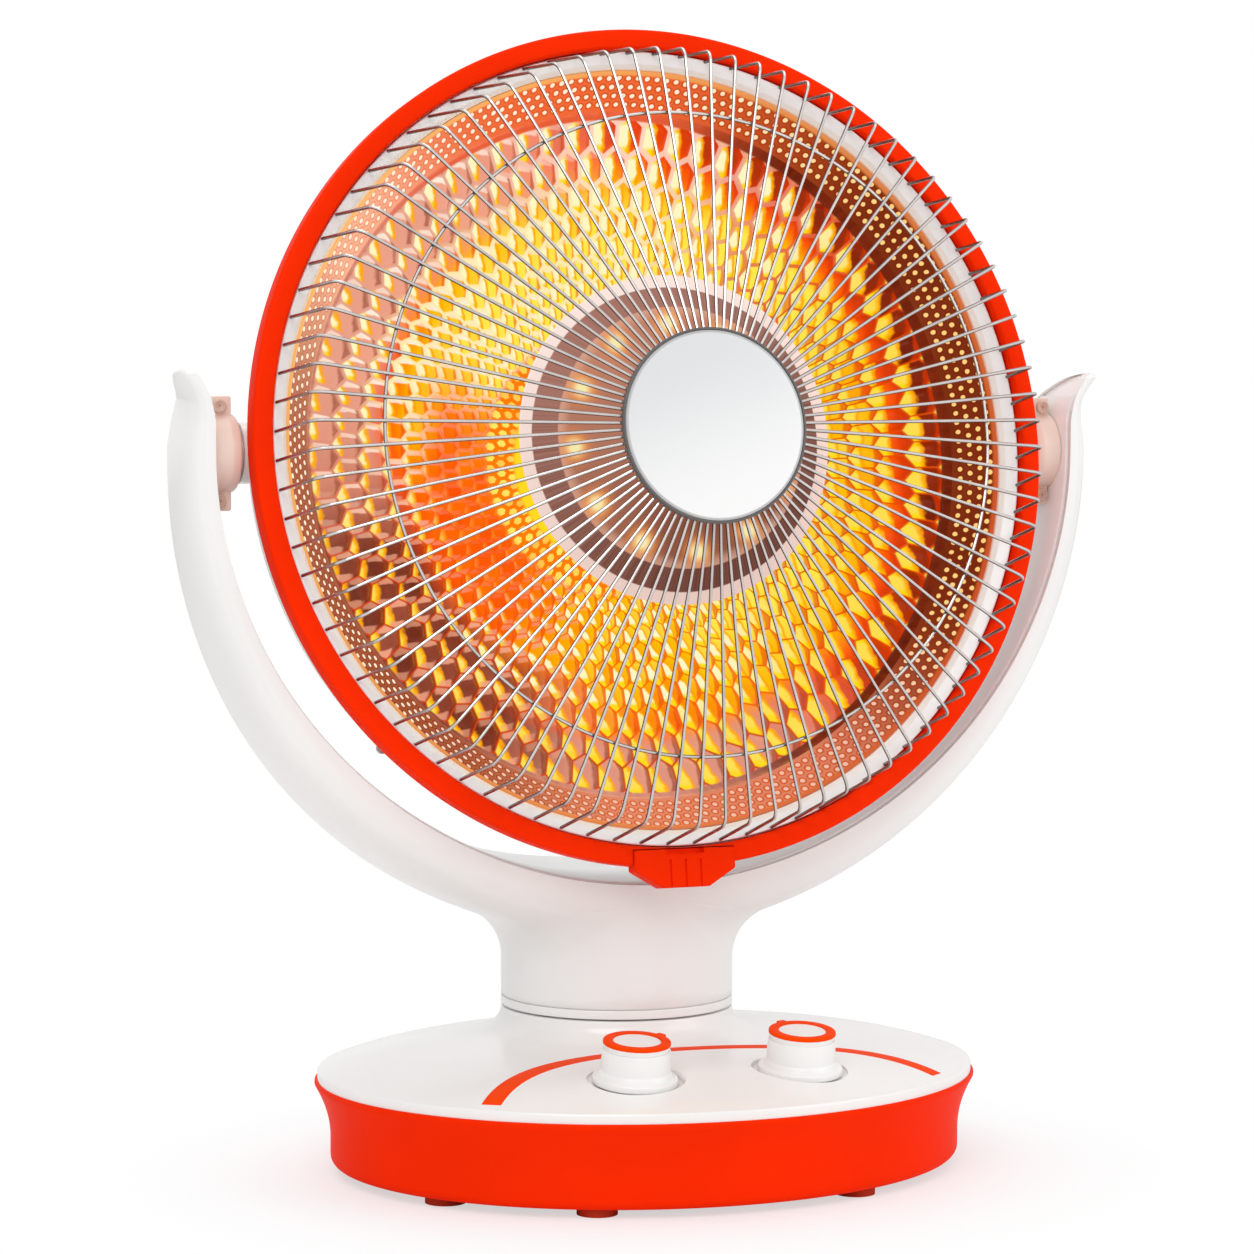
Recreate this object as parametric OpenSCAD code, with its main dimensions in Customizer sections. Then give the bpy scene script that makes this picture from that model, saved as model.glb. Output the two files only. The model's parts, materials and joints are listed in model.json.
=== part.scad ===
// Parabolic heater: a reflector head behind a wire guard, which tilts in a
// two-armed yoke that swivels on an oval base. Millimetres, +Z up, the head
// faces -Y. The origin is the middle of the base, on the surface it stands on.

/* [Base] */
// Width of the base at its rim
base_w = 275; // [262:1:300]
// Depth of the base at its rim
base_d = 231; // [224:1:250]
// Height of the seam between the tray and the cover
seam_z = 38; // [37:0.5:41]
// Rise of the domed cover above its rim
dome_h = 10; // [8:0.5:12]
// Height of the cover's rim
rim_h = 3.6; // [3:0.2:5]
// How far the tray draws in below its lip
flare = 6.5; // [3:0.5:8]
// Wall of the tray and the cover
wall = 3; // [2.4:0.1:3.4]
// Height of the rubber feet below the tray
foot_h = 3.5; // [2.5:0.5:5]
// Diameter of a rubber foot
foot_d = 16; // [12:1:18]

/* [Knobs] */
// Distance from the middle of the base to a knob, sideways
knob_x = 35; // [33:1:40]
// Distance from the base's front rim back to a knob
knob_front = 39.5; // [36:0.5:43]
// Diameter of a knob's grip
knob_d = 26.4; // [22:0.4:28]
// Diameter of a knob's flared foot
knob_foot_d = 34; // [30:1:36]
// Height of a knob above the cover
knob_h = 15; // [12:1:20]
// Width of the coloured ring on a knob
knob_ring_w = 3.8; // [2.5:0.2:5]
// Forward lean of a knob, in degrees
knob_lean = 7; // [5:0.5:9]
// Width of the coloured stripe in the cover
stripe_w = 8; // [5:0.5:10]

/* [Neck] */
// Diameter of the neck
neck_d = 96.6; // [92:0.2:100]
// Distance of the neck's axis behind the middle of the base
neck_y = 34.5; // [32:0.5:38]
// Height of the collar's top, where the swivel gap starts
collar_z = 60.5; // [59:0.5:64]
// Height of the trim ring above the swivel gap
trim_h = 3.6; // [3:0.2:5]
// Straight height of the neck between the trim ring and the yoke
neck_h = 26.2; // [24:0.2:32]
// Width of the collar's top, from the swivel bore to the neck's outside
collar_w = 18.3; // [17.3:0.1:20]

/* [Yoke] */
// Outer radius of the yoke about the pivots
yoke_r = 200; // [198:1:206]
// Thickness of an arm at the pivots
arm_t = 16; // [14:0.5:18]
// Space between the ring and the yoke's inner face at the pivots
pivot_gap = 14; // [13:0.5:16]
// Space between the ring and the yoke's inner face at the bottom
bottom_gap = 4; // [3.6:0.2:5]
// Height of the leaf-shaped tips above the pivots
tip_h = 33; // [28:1:38]
// Depth of an arm at the pivots
arm_depth = 44; // [42:1:48]
// Wall of the yoke's shell
yoke_wall = 2.6; // [2:0.1:3]
// Diameter of a pivot pin
pivot_pin_d = 8; // [6:0.5:10]

/* [Head] */
// Width of the front ring's face
ring_face = 8; // [6:0.5:9]
// Depth of the front ring, front to back
ring_depth = 10; // [9:0.5:12]
// Distance of the ring's middle in front of the pivots
ring_fwd = 18; // [16:0.5:20]
// Upward tilt of the head at rest, in degrees
head_tilt = 8.6; // [6:0.2:12]
// Depth of the polished dish
dish_depth = 32; // [26:1:38]
// Width of the stippled band round the dish
band_w = 13; // [11:0.2:15]
// How far the stippled band slopes back over that width
band_drop = 16; // [12:0.5:18]
// Depth of the step between the stippled band and the dish
step_depth = 5; // [4:0.5:7]

/* [Guard] */
// Number of radial guard wires
wire_count = 88; // [60:1:96]
// Diameter of a guard wire
wire_d = 1.4; // [1.2:0.1:2]
// Diameter of the white cap in the guard's middle
cap_d = 77.2; // [70:0.2:84]
// Distance of the cap's front ahead of the ring
cap_fwd = 62; // [56:1:68]
// Distance from the ring's outside in to where the wires turn back to it
bend_in = 15; // [13:0.5:20]
// Distance of that bend ahead of the ring
bend_fwd = 36.5; // [30:0.5:40]
// Distance from the ring's outside in to the hoop that ties the wires
hoop_in = 42; // [30:1:60]

/* [Element] */
// Outer diameter of the shade in front of the element
shade_d = 132.6; // [120:0.2:140]
// Diameter of the shade's flat front
shade_face_d = 105; // [96:1:112]
// Distance of the shade's rim ahead of the ring
shade_fwd = 18.8; // [16:0.2:22]
// Distance between the shade's rim and its front
shade_h = 8; // [6:0.5:10]
// Number of glow holes in the shade
glow_holes = 12; // [8:1:16]
// Diameter of a glow hole
glow_hole_d = 9; // [6:0.5:11]
// Diameter of the ceramic core that carries the heating coil
core_d = 26; // [22:1:30]

/* [Hidden] */

$fn = 96;
eps = 0.01;
gap = 0.3;              // clearance between pieces that only lie beside each other
run = 0.1;              // radial clearance of a shaft in its bore

white = [0.95, 0.94, 0.93];
orange = [0.95, 0.22, 0.03];
steel = [0.75, 0.75, 0.76];
iron = [0.3, 0.3, 0.32];
black = [0.08, 0.08, 0.08];

// --- base -------------------------------------------------------------------
base_a = base_w / 2;
base_ratio = base_d / base_w;
knob_y = base_d / 2 - knob_front;
spindle_d = neck_d - 2 * collar_w;
lip = 1.2;              // how far the tray's lip stands outside the cover's rim
tray_floor = foot_h;
rim_z = seam_z + rim_h;
dome_z = rim_z + dome_h;
dome_n = 5;             // how squarely the dome turns down at its rim
dome_steps = 9;
flare_h = 22;
corner = 4;             // rounding of the tray's bottom edge

// Height of the cover's outer surface over a point of the base
function rho(x, y) = sqrt(pow(x / (base_a - lip), 2) + pow(y / ((base_a - lip) * base_ratio), 2));
function cover_z(x, y) = rim_z + dome_h * (1 - pow(min(1, rho(x, y)), dome_n));

// The domed top from the rim inwards, as points of radius and height
function dome_pts(r, z) = [for (i = [0:dome_steps])
    let (t = pow(1 - i / dome_steps, 0.55)) [r * t, z + dome_h * (1 - pow(t, dome_n))]];

module oval() { scale([1, base_ratio, 1]) children(); }

module tray_profile(inset) {
    a = base_a - inset;
    top = inset > 0 ? seam_z + 1 : seam_z;
    polygon(concat(
        [[0, tray_floor + inset], [a - flare - corner, tray_floor + inset]],
        [for (i = [1:4]) [a - flare - corner + corner * sin(i * 22.5),
                          tray_floor + inset + corner * (1 - cos(i * 22.5))]],
        [for (i = [0:5]) let (u = 1 - i / 5) [a - flare * (1 - pow(1 - u, 2)), seam_z - 1.5 - flare_h * u]],
        [[a, top], [0, top]]));
}

foot_angles = [28, 62, 118, 152, 208, 242, 298, 332];
foot_in = 15;           // distance from the rim to a foot's middle
function foot_at(a) = [(base_a - flare - foot_in) * cos(a), (base_a - flare - foot_in) * base_ratio * sin(a)];

screw_angles = [0, 45, 135, 180, 225, 315];
screw_d = 4;
screw_head_d = 7;
screw_head_h = 3;
screw_in = 6;           // length of a screw in the cover's boss
boss_d = 9;
boss_in = 18;
function screw_at(a) = [(base_a - boss_in) * cos(a), (base_a - boss_in) * base_ratio * sin(a)];
boss_z = seam_z - 8;    // where the tray's bosses meet the cover's

gland_z = 20;
gland_d = 13;
gland_flange_d = 18;
cord_bore_d = 7.4;

plunger_d = 6;
plunger_at = [-78, 26];
plunger_travel = 3;

module base_tray() {
    color(orange) difference() {
        union() {
            difference() {
                oval() rotate_extrude($fn = 240) tray_profile(0);
                oval() rotate_extrude($fn = 240) tray_profile(wall);
            }
            for (a = screw_angles) translate([screw_at(a)[0], screw_at(a)[1], tray_floor + eps])
                cylinder(h = boss_z - tray_floor, d = boss_d);
        }
        for (a = screw_angles) translate([screw_at(a)[0], screw_at(a)[1], 0]) {
            cylinder(h = seam_z, d = screw_d + gap, $fn = 32);
            cylinder(h = boss_z - boss_drop, d = screw_head_d + gap, $fn = 32);
        }
        for (a = foot_angles) translate([foot_at(a)[0], foot_at(a)[1], 0])
            cylinder(h = tray_floor + foot_sink, d = foot_d + gap, $fn = 48);
        translate([0, base_a * base_ratio, gland_z]) rotate([90, 0, 0])
            cylinder(h = 30, d = gland_d + gap, $fn = 48);
        translate([plunger_at[0], plunger_at[1], -1]) cylinder(h = 20, d = plunger_d + 2, $fn = 32);
    }
}
boss_drop = 5;          // thickness of the boss above a screw's head
foot_sink = 1.2;        // how deep a foot sits in the tray's floor

module rubber_feet() {
    color(orange * 0.7) for (a = foot_angles) translate([foot_at(a)[0], foot_at(a)[1], 0]) {
        cylinder(h = foot_h + foot_sink, d = foot_d, $fn = 48);
    }
}

module base_screws() {
    color(steel) for (a = screw_angles) translate([screw_at(a)[0], screw_at(a)[1], boss_z - boss_drop]) {
        translate([0, 0, -screw_head_h]) cylinder(h = screw_head_h, d = screw_head_d, $fn = 32);
        translate([0, 0, -eps]) cylinder(h = boss_drop + screw_in, d = screw_d - run, $fn = 32);
    }
}

// Placed on the cover at a knob, with +Z along the knob's shaft
module at_knob(side) {
    translate([side * knob_x, -knob_y, cover_z(knob_x, -knob_y)]) rotate([knob_lean, 0, 0]) children();
}

well_depth = 2.4;
well_d = knob_foot_d + 4;
well_wall = 2.2;
bush_d = 10;            // threaded bush of a switch, through the cover
bush_clear = 0.4;

// The band of the stripe, seen from above: an arc that passes behind the knobs
stripe_front = neck_y - neck_d / 2 - 13;
stripe_r = 124;
stripe_half = 55;       // half the arc's sweep, in degrees
module stripe_band() {
    translate([0, stripe_front - stripe_r]) difference() {
        circle(r = stripe_r, $fn = 180);
        circle(r = stripe_r - stripe_w, $fn = 180);
        rotate(90) wedge(stripe_half);
    }
}
// Everything outside half angle a to either side of +X
module wedge(a) {
    far = 400;
    polygon([[0, 0], [far * cos(a), far * sin(a)], [-far, far], [-far, -far], [far * cos(a), -far * sin(a)]]);
}
stripe_depth = 1;
module stripe_solid() {
    intersection() {
        oval() rotate_extrude($fn = 240) polygon(concat(
            [[0, dome_z - stripe_depth]],
            [for (i = [dome_steps:-1:0]) dome_pts(base_a - lip, rim_z)[i] - [0, stripe_depth]],
            [for (i = [0:dome_steps]) dome_pts(base_a - lip, rim_z)[i]]));
        translate([0, 0, seam_z]) linear_extrude(dome_h + rim_h + 2) intersection() {
            stripe_band();
            scale([1, base_ratio]) circle(r = base_a - lip - 4, $fn = 180);
        }
    }
}

module cover_shell() {
    r = base_a - lip;
    outer = dome_pts(r, rim_z);
    inner = dome_pts(r - wall, rim_z - wall);
    difference() {
        oval() rotate_extrude($fn = 240) polygon(concat([[0, seam_z], [r, seam_z]], outer));
        oval() rotate_extrude($fn = 240) polygon(concat([[0, seam_z - 1], [r - wall, seam_z - 1]], inner));
    }
}

spindle_bore_d = spindle_d + 2 * run;
collar_floor = 3;       // thickness of the collar's top plate
cove = 8;               // radius of the cove between the collar and the dome
collar_in = 3;

module collar_outside() {
    r = neck_d / 2;
    translate([0, neck_y, 0]) rotate_extrude() polygon(concat(
        [[0, dome_z - wall - 1], [r + cove, dome_z - wall - 1]],
        [for (i = [0:5]) [r + cove - cove * sin(i * 18), dome_z - 0.6 + cove * (1 - cos(i * 18))]],
        [[r, collar_z], [0, collar_z]]));
}

module base_cover() {
    color(white) difference() {
        union() {
            cover_shell();
            collar_outside();
            for (side = [-1, 1]) at_knob(side) translate([0, 0, -well_depth - well_wall - 1])
                cylinder(h = well_depth + well_wall + 0.4, d = well_d + 2 * well_wall, $fn = 64);
            for (a = screw_angles) translate([screw_at(a)[0], screw_at(a)[1], boss_z + gap])
                cylinder(h = cover_z(screw_at(a)[0], screw_at(a)[1]) - 1.2 - boss_z, d = boss_d, $fn = 48);
        }
        translate([0, neck_y, 0]) cylinder(h = collar_z - collar_floor, d = neck_d - 2 * collar_in);
        translate([0, neck_y, 0]) cylinder(h = collar_z + 1, d = spindle_bore_d);
        for (side = [-1, 1]) at_knob(side) {
            translate([0, 0, -well_depth]) cylinder(h = 20, d = well_d, $fn = 64);
            translate([0, 0, -20]) cylinder(h = 40, d = bush_d + bush_clear, $fn = 48);
        }
        for (a = screw_angles) translate([screw_at(a)[0], screw_at(a)[1], boss_z - 1])
            cylinder(h = screw_in + 3, d = screw_d, $fn = 32);
        stripe_solid();
    }
}

module stripe_inlay() { color(orange) stripe_solid(); }

weight_h = 8;
weight_x = 150;
weight_y = 46;
weight_at = -58;
module base_weight() {
    color(iron) translate([0, weight_at, tray_floor + wall]) linear_extrude(weight_h) hull_free_slot(weight_x, weight_y);
}
// A plate with round ends
module hull_free_slot(x, y) {
    square([x - y, y], center = true);
    for (s = [-1, 1]) translate([s * (x - y) / 2, 0]) circle(d = y);
}

// --- switches, timer and knobs ----------------------------------------------
switch_w = 30;
switch_h = 15;
timer_d = 40;
timer_h = 17;
nut_h = 2;
nut_d = 14;
shaft_d = 6;
seat_z = -well_depth - well_wall - 1;   // underside of the knob well's floor

// The bush goes up through the well's floor, and the knob's shaft turns in it
module switch_bush() {
    translate([0, 0, seat_z - 1]) cylinder(h = well_wall + nut_h + 2, d = bush_d, $fn = 48);
}

module heat_switch() {
    color(black) at_knob(-1) difference() {
        union() {
            translate([-switch_w / 2, -switch_w / 2, seat_z - switch_h]) cube([switch_w, switch_w, switch_h - eps]);
            switch_bush();
            for (i = [-1:1]) translate([i * 8 - 3, -0.4, seat_z - switch_h - 5]) cube([6, 0.8, 6]);
        }
        translate([0, 0, -2]) shaft_hole_deep(switch_h - 4);
    }
}
// A blind hole for the shaft, which leaves the body's bottom closed
module shaft_hole_deep(depth) {
    translate([0, 0, seat_z - depth + 2]) cylinder(h = through, d = shaft_d + 2 * run, $fn = 32);
}

module timer() {
    color(black) at_knob(1) difference() {
        union() {
            translate([0, 0, seat_z - timer_h]) cylinder(h = timer_h - eps, d = timer_d, $fn = 64);
            switch_bush();
            for (i = [-1, 1]) translate([i * 8 - 3, -0.4, seat_z - timer_h - 5]) cube([6, 0.8, 6]);
        }
        translate([0, 0, -2]) shaft_hole_deep(switch_h - 4);
    }
}

module switch_nuts() {
    color(steel) for (side = [-1, 1]) at_knob(side) translate([0, 0, -well_depth + 0.02]) difference() {
        cylinder(h = nut_h, d = nut_d, $fn = 6);
        translate([0, 0, -1]) cylinder(h = nut_h + 2, d = bush_d + 0.04, $fn = 48);
    }
}

knob_lift = 0.6;        // space under a knob's skirt
knob_wall = 2;
knob_foot_h = 3.4;

module knob_body() {
    r = knob_d / 2;
    f = knob_foot_d / 2;
    z0 = -well_depth + knob_lift;
    difference() {
        union() {
            rotate_extrude($fn = 72) difference() {
                polygon([[0, z0], [f - 0.5, z0], [f, z0 + 0.6], [f - 0.6, z0 + knob_foot_h - 1],
                    [f - 2.2, z0 + knob_foot_h], [r + 0.9, z0 + knob_foot_h + 0.6], [r + 0.5, z0 + knob_foot_h + 1.6],
                    [r, knob_h - 0.8], [r - 0.4, knob_h], [0, knob_h]]);
                polygon([[-1, z0 - 1], [r - knob_wall, z0 - 1], [r - knob_wall, knob_h - 3.4], [-1, knob_h - 3.4]]);
                translate([r - knob_ring_w, knob_h - 1]) square([knob_ring_w + 1, 2]);
            }
            translate([0, 0, seat_z - switch_h + 6.2]) cylinder(h = knob_h - seat_z + switch_h - 9, d = shaft_d, $fn = 32);
        }
    }
}
module knob_ring(tab_angle) {
    translate([0, 0, knob_h - 1 + 0.02]) difference() {
        union() {
            cylinder(h = 1.3, d = knob_d, $fn = 72);
            rotate(tab_angle) translate([knob_d / 2 - 1, -1.9, 0]) cube([2.6, 3.8, 1.3]);
        }
        translate([0, 0, -1]) cylinder(h = 4, r = knob_d / 2 - knob_ring_w + 0.02, $fn = 72);
    }
}
tab_left = 26;
tab_right = 103;

// --- cord inlet and tip-over switch ------------------------------------------
module cord_gland() {
    tray_y = (base_a - flare) * base_ratio;
    color(black) translate([0, tray_y, gland_z]) rotate([90, 0, 0]) difference() {
        union() {
            translate([0, 0, -4.7]) cylinder(h = 2.2, d = gland_flange_d, $fn = 48);
            translate([0, 0, -3]) cylinder(h = wall + 9, d = gland_d, $fn = 48);
            translate([0, 0, wall + 1]) cylinder(h = 3, d = gland_flange_d - 2, $fn = 48);
        }
        translate([0, 0, -10]) cylinder(h = 40, d = cord_bore_d, $fn = 48);
    }
}

tip_box = [22, 30, 16];
module tip_switch() {
    color(black) translate([plunger_at[0] - tip_box[0] / 2, plunger_at[1] - tip_box[1] / 2, tray_floor + wall])
        difference() {
            cube(tip_box);
            translate([tip_box[0] / 2, tip_box[1] / 2, -1])
                cylinder(h = tip_box[2] - 1, d = plunger_d + 2 * run, $fn = 32);
        }
}
module tip_plunger() {
    color(white) translate([plunger_at[0], plunger_at[1], 0.1])
        cylinder(h = tray_floor + wall + tip_box[2] - 3 - plunger_travel, d = plunger_d, $fn = 32);
}

// --- swivel drive -------------------------------------------------------------
gear_teeth = 48;
pinion_teeth = 16;
gear_over = 6;          // how far the gear's pitch circle stands outside the spindle
gear_m = (spindle_d + 2 * gear_over) / gear_teeth;
gear_backlash = 0.25;   // added to the distance between the shafts
gear_z = seam_z - 3.5;  // underside of the gear
gear_h = 6;
gear_hub_wall = 4;
gear_hub_d = spindle_d + 2 * gear_hub_wall;
spindle_wall = 9;
spindle_in = spindle_d - 2 * spindle_wall;  // bore for the leads through the spindle
pinion_y = neck_y - gear_m * (gear_teeth + pinion_teeth) / 2 - gear_backlash;

// A spur gear's outline: each tooth is a trapezoid, its half widths at the root
// and the tip given in modules
tooth_root = 0.8;
tooth_tip = 0.42;
module gear_2d(n) {
    pitch_r = gear_m * n / 2;
    root = pitch_r - 1.2 * gear_m;
    tip = pitch_r + 0.9 * gear_m;
    step = 360 / n;
    wide = asin(tooth_root * gear_m / root);
    slim = asin(tooth_tip * gear_m / tip);
    polygon([for (i = [0:n - 1]) for (p = [[root, -wide], [tip, -slim], [tip, slim], [root, wide]])
        [p[0] * cos(i * step + p[1]), p[0] * sin(i * step + p[1])]]);
}

module swing_gear() {
    color(white) translate([0, neck_y, gear_z]) difference() {
        union() {
            linear_extrude(gear_h) rotate(90) gear_2d(gear_teeth);
            cylinder(h = collar_z - collar_floor - gap - gear_z, d = gear_hub_d);
        }
        translate([0, 0, -1]) cylinder(h = through, d = spindle_in);
        for (a = gear_screw_angles) rotate(a) translate([gear_screw_r, 0, -1]) {
            cylinder(h = through, d = gear_screw_d + 2 * gear_screw_clear, $fn = 24);
            cylinder(h = 1 + gear_screw_in, d = gear_screw_head_d + 2 * gear_screw_clear, $fn = 24);
        }
    }
}
gear_screw_angles = [30, 150, 270];
gear_screw_r = (spindle_d + spindle_in) / 4;
gear_screw_d = 3;
gear_screw_head_d = 6;
gear_screw_in = 4;      // how deep their heads' seats are let into the gear
gear_screw_clear = 0.2;
gear_screw_head_h = 2.2;
module gear_screws() {
    color(steel) for (a = gear_screw_angles) translate([0, neck_y, gear_z + gear_screw_in]) rotate(a)
        translate([gear_screw_r, 0, 0]) {
            translate([0, 0, -gear_screw_head_h]) cylinder(h = gear_screw_head_h, d = gear_screw_head_d, $fn = 24);
            translate([0, 0, -eps]) cylinder(h = neck_z - 2 - gear_z - gear_screw_in, d = gear_screw_d, $fn = 24);
        }
}

motor_d = 49;
motor_h = 17;
motor_off = 8;          // the motor's shaft stands off its middle
motor_y = pinion_y + motor_off;
motor_shaft_d = 5;
motor_screw_d = 3;
motor_foot_h = 3;       // height of the posts under the motor's ears
motor_foot_d = 6;
ear_t = 1.2;
ear_w = 7;
motor_z = tray_floor + wall + motor_foot_h;
motor_ear = 58;         // distance between the motor's screws
module swing_motor() {
    color(steel) {
        translate([0, motor_y, motor_z]) {
            difference() {
                union() {
                    cylinder(h = motor_h, d = motor_d);
                    translate([-motor_ear / 2, -ear_w / 2, 0]) cube([motor_ear, ear_w, ear_t]);
                    for (s = [-1, 1]) translate([s * motor_ear / 2, 0, 0]) cylinder(h = ear_t, d = ear_w, $fn = 32);
                    for (s = [-1, 1]) translate([s * motor_ear / 2, 0, -motor_foot_h]) cylinder(h = motor_foot_h + 0.1, d = motor_foot_d, $fn = 32);
                }
                for (s = [-1, 1]) translate([s * motor_ear / 2, 0, -motor_foot_h - 1])
                    cylinder(h = motor_foot_h + ear_t + 2, d = motor_screw_d + 2 * run, $fn = 24);
            }
        }
        translate([0, pinion_y, motor_z + motor_h - 1]) cylinder(h = gear_z + gear_h - 1 - motor_z - motor_h, d = motor_shaft_d, $fn = 32);
    }
}
motor_screw_head = [5.6, 2];    // diameter and height
module motor_screws() {
    color(steel) for (s = [-1, 1]) translate([s * motor_ear / 2, motor_y, motor_z + ear_t + 0.02]) {
        cylinder(h = motor_screw_head[1], d = motor_screw_head[0], $fn = 24);
        translate([0, 0, -motor_foot_h - ear_t]) cylinder(h = motor_foot_h + ear_t + 0.1, d = motor_screw_d, $fn = 24);
    }
}
module motor_pinion() {
    color(white) translate([0, pinion_y, gear_z]) difference() {
        linear_extrude(gear_h) rotate(90 + 180 / pinion_teeth) gear_2d(pinion_teeth);
        translate([0, 0, -1]) cylinder(h = gear_h, d = motor_shaft_d + 2 * run, $fn = 32);
    }
}

washer_h = 0.7;
washer_in = 6;          // how far the washer stays inside the neck's outside
washer_clear = 1.5;
trim_z = collar_z + washer_h + run;
module slip_washer() {
    color(steel) translate([0, neck_y, collar_z]) difference() {
        cylinder(h = washer_h, d = neck_d - 2 * washer_in);
        translate([0, 0, -1]) cylinder(h = 4, d = spindle_d + 2 * washer_clear);
    }
}

module swivel_trim() {
    color(white) translate([0, neck_y, trim_z]) difference() {
        cylinder(h = trim_h, d = neck_d);
        translate([0, 0, -1]) cylinder(h = trim_h + 2, d = spindle_d + 2 * run);
    }
}

// --- yoke ---------------------------------------------------------------------
groove = 0.4;           // fine line between the trim ring and the neck
neck_z = trim_z + trim_h;
pivot_z = neck_z + neck_h + yoke_r;
pivot_y = 8;
in_side = yoke_r - arm_t;
ring_r = in_side - pivot_gap;
in_bottom = ring_r + bottom_gap;
front_y = pivot_y - arm_depth / 2;      // the yoke's front lies in one plane
back_bottom = neck_y + neck_d / 2 + 1;  // and its back slopes out to the neck
cover_sink = 1;         // how far the inner cover stands proud of the shell's lips
cover_t = 2;

// Stations along the yoke: t runs from -1, the left tip, to 1, the right one
arc_steps = 22;
tip_steps = 7;
function arm_in(b) = in_side - (in_side - in_bottom) * pow(cos(b), 1.6);
function arm_half(b) = (arm_depth + (back_bottom - front_y - arm_depth) * pow(cos(b), 1.5)) / 2;
// A station is [origin x, origin z, direction x, direction z, inner radius, thickness, half depth]
function arc_station(b) = [0, pivot_z, sin(b), -cos(b), arm_in(b), yoke_r - 3.5 * pow(sin(b), 2) - arm_in(b), arm_half(b)];
function tip_station(side, u) = [0, pivot_z + tip_h * u, side, 0, in_side + (yoke_r - in_side) * pow(u, 4) * 0.93,
    (yoke_r - 3.5 - in_side) * (1 - pow(u, 3.2) * 0.9) + 2.2 * pow(u, 4) - 0.9 * pow(u, 2), (arm_depth / 2) * (1 - 0.55 * pow(u, 3))];
stations = concat(
    [for (i = [tip_steps:-1:1]) tip_station(-1, i / tip_steps)],
    [for (i = [-arc_steps:arc_steps]) arc_station(i * 90 / arc_steps)],
    [for (i = [1:tip_steps]) tip_station(1, i / tip_steps)]);

// A point of a station at radius r from its origin and depth y
function spot(s, r, y) = [s[0] + s[2] * r, y, s[1] + s[3] * r];

// A quarter of a superellipse, from the lip round the crown to the other lip
crown_n = 2.7;
crown_steps = 14;
function crown_y(k, half) = let (c = cos(k * 180 / crown_steps)) half * sign(c) * pow(abs(c), 2 / crown_n);
function crown_r(k, high) = high * pow(abs(sin(k * 180 / crown_steps)), 2 / crown_n);

function shell_ring(s) = let (
        lip_r = s[4] + cover_sink,
        high = s[5] - cover_sink,
        mid = front_y + s[6],
        in_half = s[6] - yoke_wall,
        in_high = max(0.35, high - yoke_wall))
    concat(
        [for (k = [0:crown_steps]) spot(s, lip_r + crown_r(k, high), mid + crown_y(k, s[6]))],
        [for (k = [crown_steps:-1:0]) spot(s, lip_r + crown_r(k, in_high), mid + crown_y(k, in_half))]);

// Skins a list of closed rings, all with n points, into one solid. In each ring
// point k lies across from point n - 1 - k, so the end rings close as strips.
function end_strip(n, from, flip) = [for (k = [0:n / 2 - 2])
    let (a = from + k, b = from + k + 1, c = from + n - 2 - k, d = from + n - 1 - k)
    each flip ? [[a, c, b], [a, d, c]] : [[a, b, c], [a, c, d]]];
function skin_faces(n, m) = concat(
    end_strip(n, 0, false),
    [for (i = [0:m - 2]) for (k = [0:n - 1])
        let (a = i * n + k, b = i * n + (k + 1) % n)
        each [[a, a + n, b], [b, a + n, b + n]]],
    end_strip(n, (m - 1) * n, true));
module skin(rings) {
    polyhedron(points = [for (ring = rings) for (p = ring) p], faces = skin_faces(len(rings[0]), len(rings)));
}

// Height of the crown's underside over a point, found by closing in on its station
function crown_at(b, y) = let (
        half = arm_half(b),
        side = min(1, abs(y - front_y - half) / half))
    arm_in(b) + cover_sink + (arc_station(b)[5] - cover_sink) * pow(1 - pow(side, crown_n), 1 / crown_n);
function under_z(x, y, b = 0, n = 6) = let (r = crown_at(b, y))
    n == 0 ? pivot_z - r * cos(b) : under_z(x, y, asin(x / r), n - 1);

neck_wall = 3;
fillet_r = 22;          // fillet between the neck and the arms
fillet_z = neck_z + neck_h - 6;
neck_sides = 60;
neck_steps = 6;
seat_gap = 0.3;         // space between the neck's top and the arms' underside
seat_in = [0.2, 0.6, 1.3, 2.1];     // where the neck's top is shaped across its wall

// Radius of the neck at height z in direction a: it flares sideways, into the arms
function neck_r(a, z) = let (h = min(max(0, z - fillet_z), fillet_r * 0.97))
    neck_d / 2 + (fillet_r - sqrt(pow(fillet_r, 2) - h * h)) * pow(abs(cos(a)), 3);
function neck_top_z(a, in, z = neck_z + neck_h + 12, n = 8) = let (r = neck_r(a, z) - in)
    n == 0 ? z : neck_top_z(a, in, under_z(r * cos(a), neck_y + r * sin(a)) - seat_gap, n - 1);
function neck_point(a, z, in) = let (r = neck_r(a, z) - in) [r * cos(a), neck_y + r * sin(a), z];
function neck_side(a, in) = let (top = neck_top_z(a, in)) concat(
    [neck_point(a, neck_z + groove, in)],
    [for (i = [0:neck_steps]) neck_point(a, fillet_z + (top - fillet_z) * i / neck_steps, in)]);
function reversed(v) = [for (i = [len(v) - 1:-1:0]) v[i]];
neck_rings = [for (i = [0:neck_sides - 1]) let (a = i * 360 / neck_sides)
    concat(neck_side(a, 0), [for (in = seat_in) neck_point(a, neck_top_z(a, in), in)],
        reversed(neck_side(a, neck_wall)))];

// Skins rings that go all the way round, so the last meets the first
module round_skin(rings) {
    n = len(rings[0]);
    m = len(rings);
    polyhedron(points = [for (ring = rings) for (p = ring) p], faces = [for (i = [0:m - 1]) for (k = [0:n - 1])
        let (a = i * n + k, b = i * n + (k + 1) % n, c = (i + 1) % m * n + k, d = (i + 1) % m * n + (k + 1) % n)
        each [[a, b, c], [b, d, c]]]);
}

module neck_column() { color(white) round_skin(neck_rings); }

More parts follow.
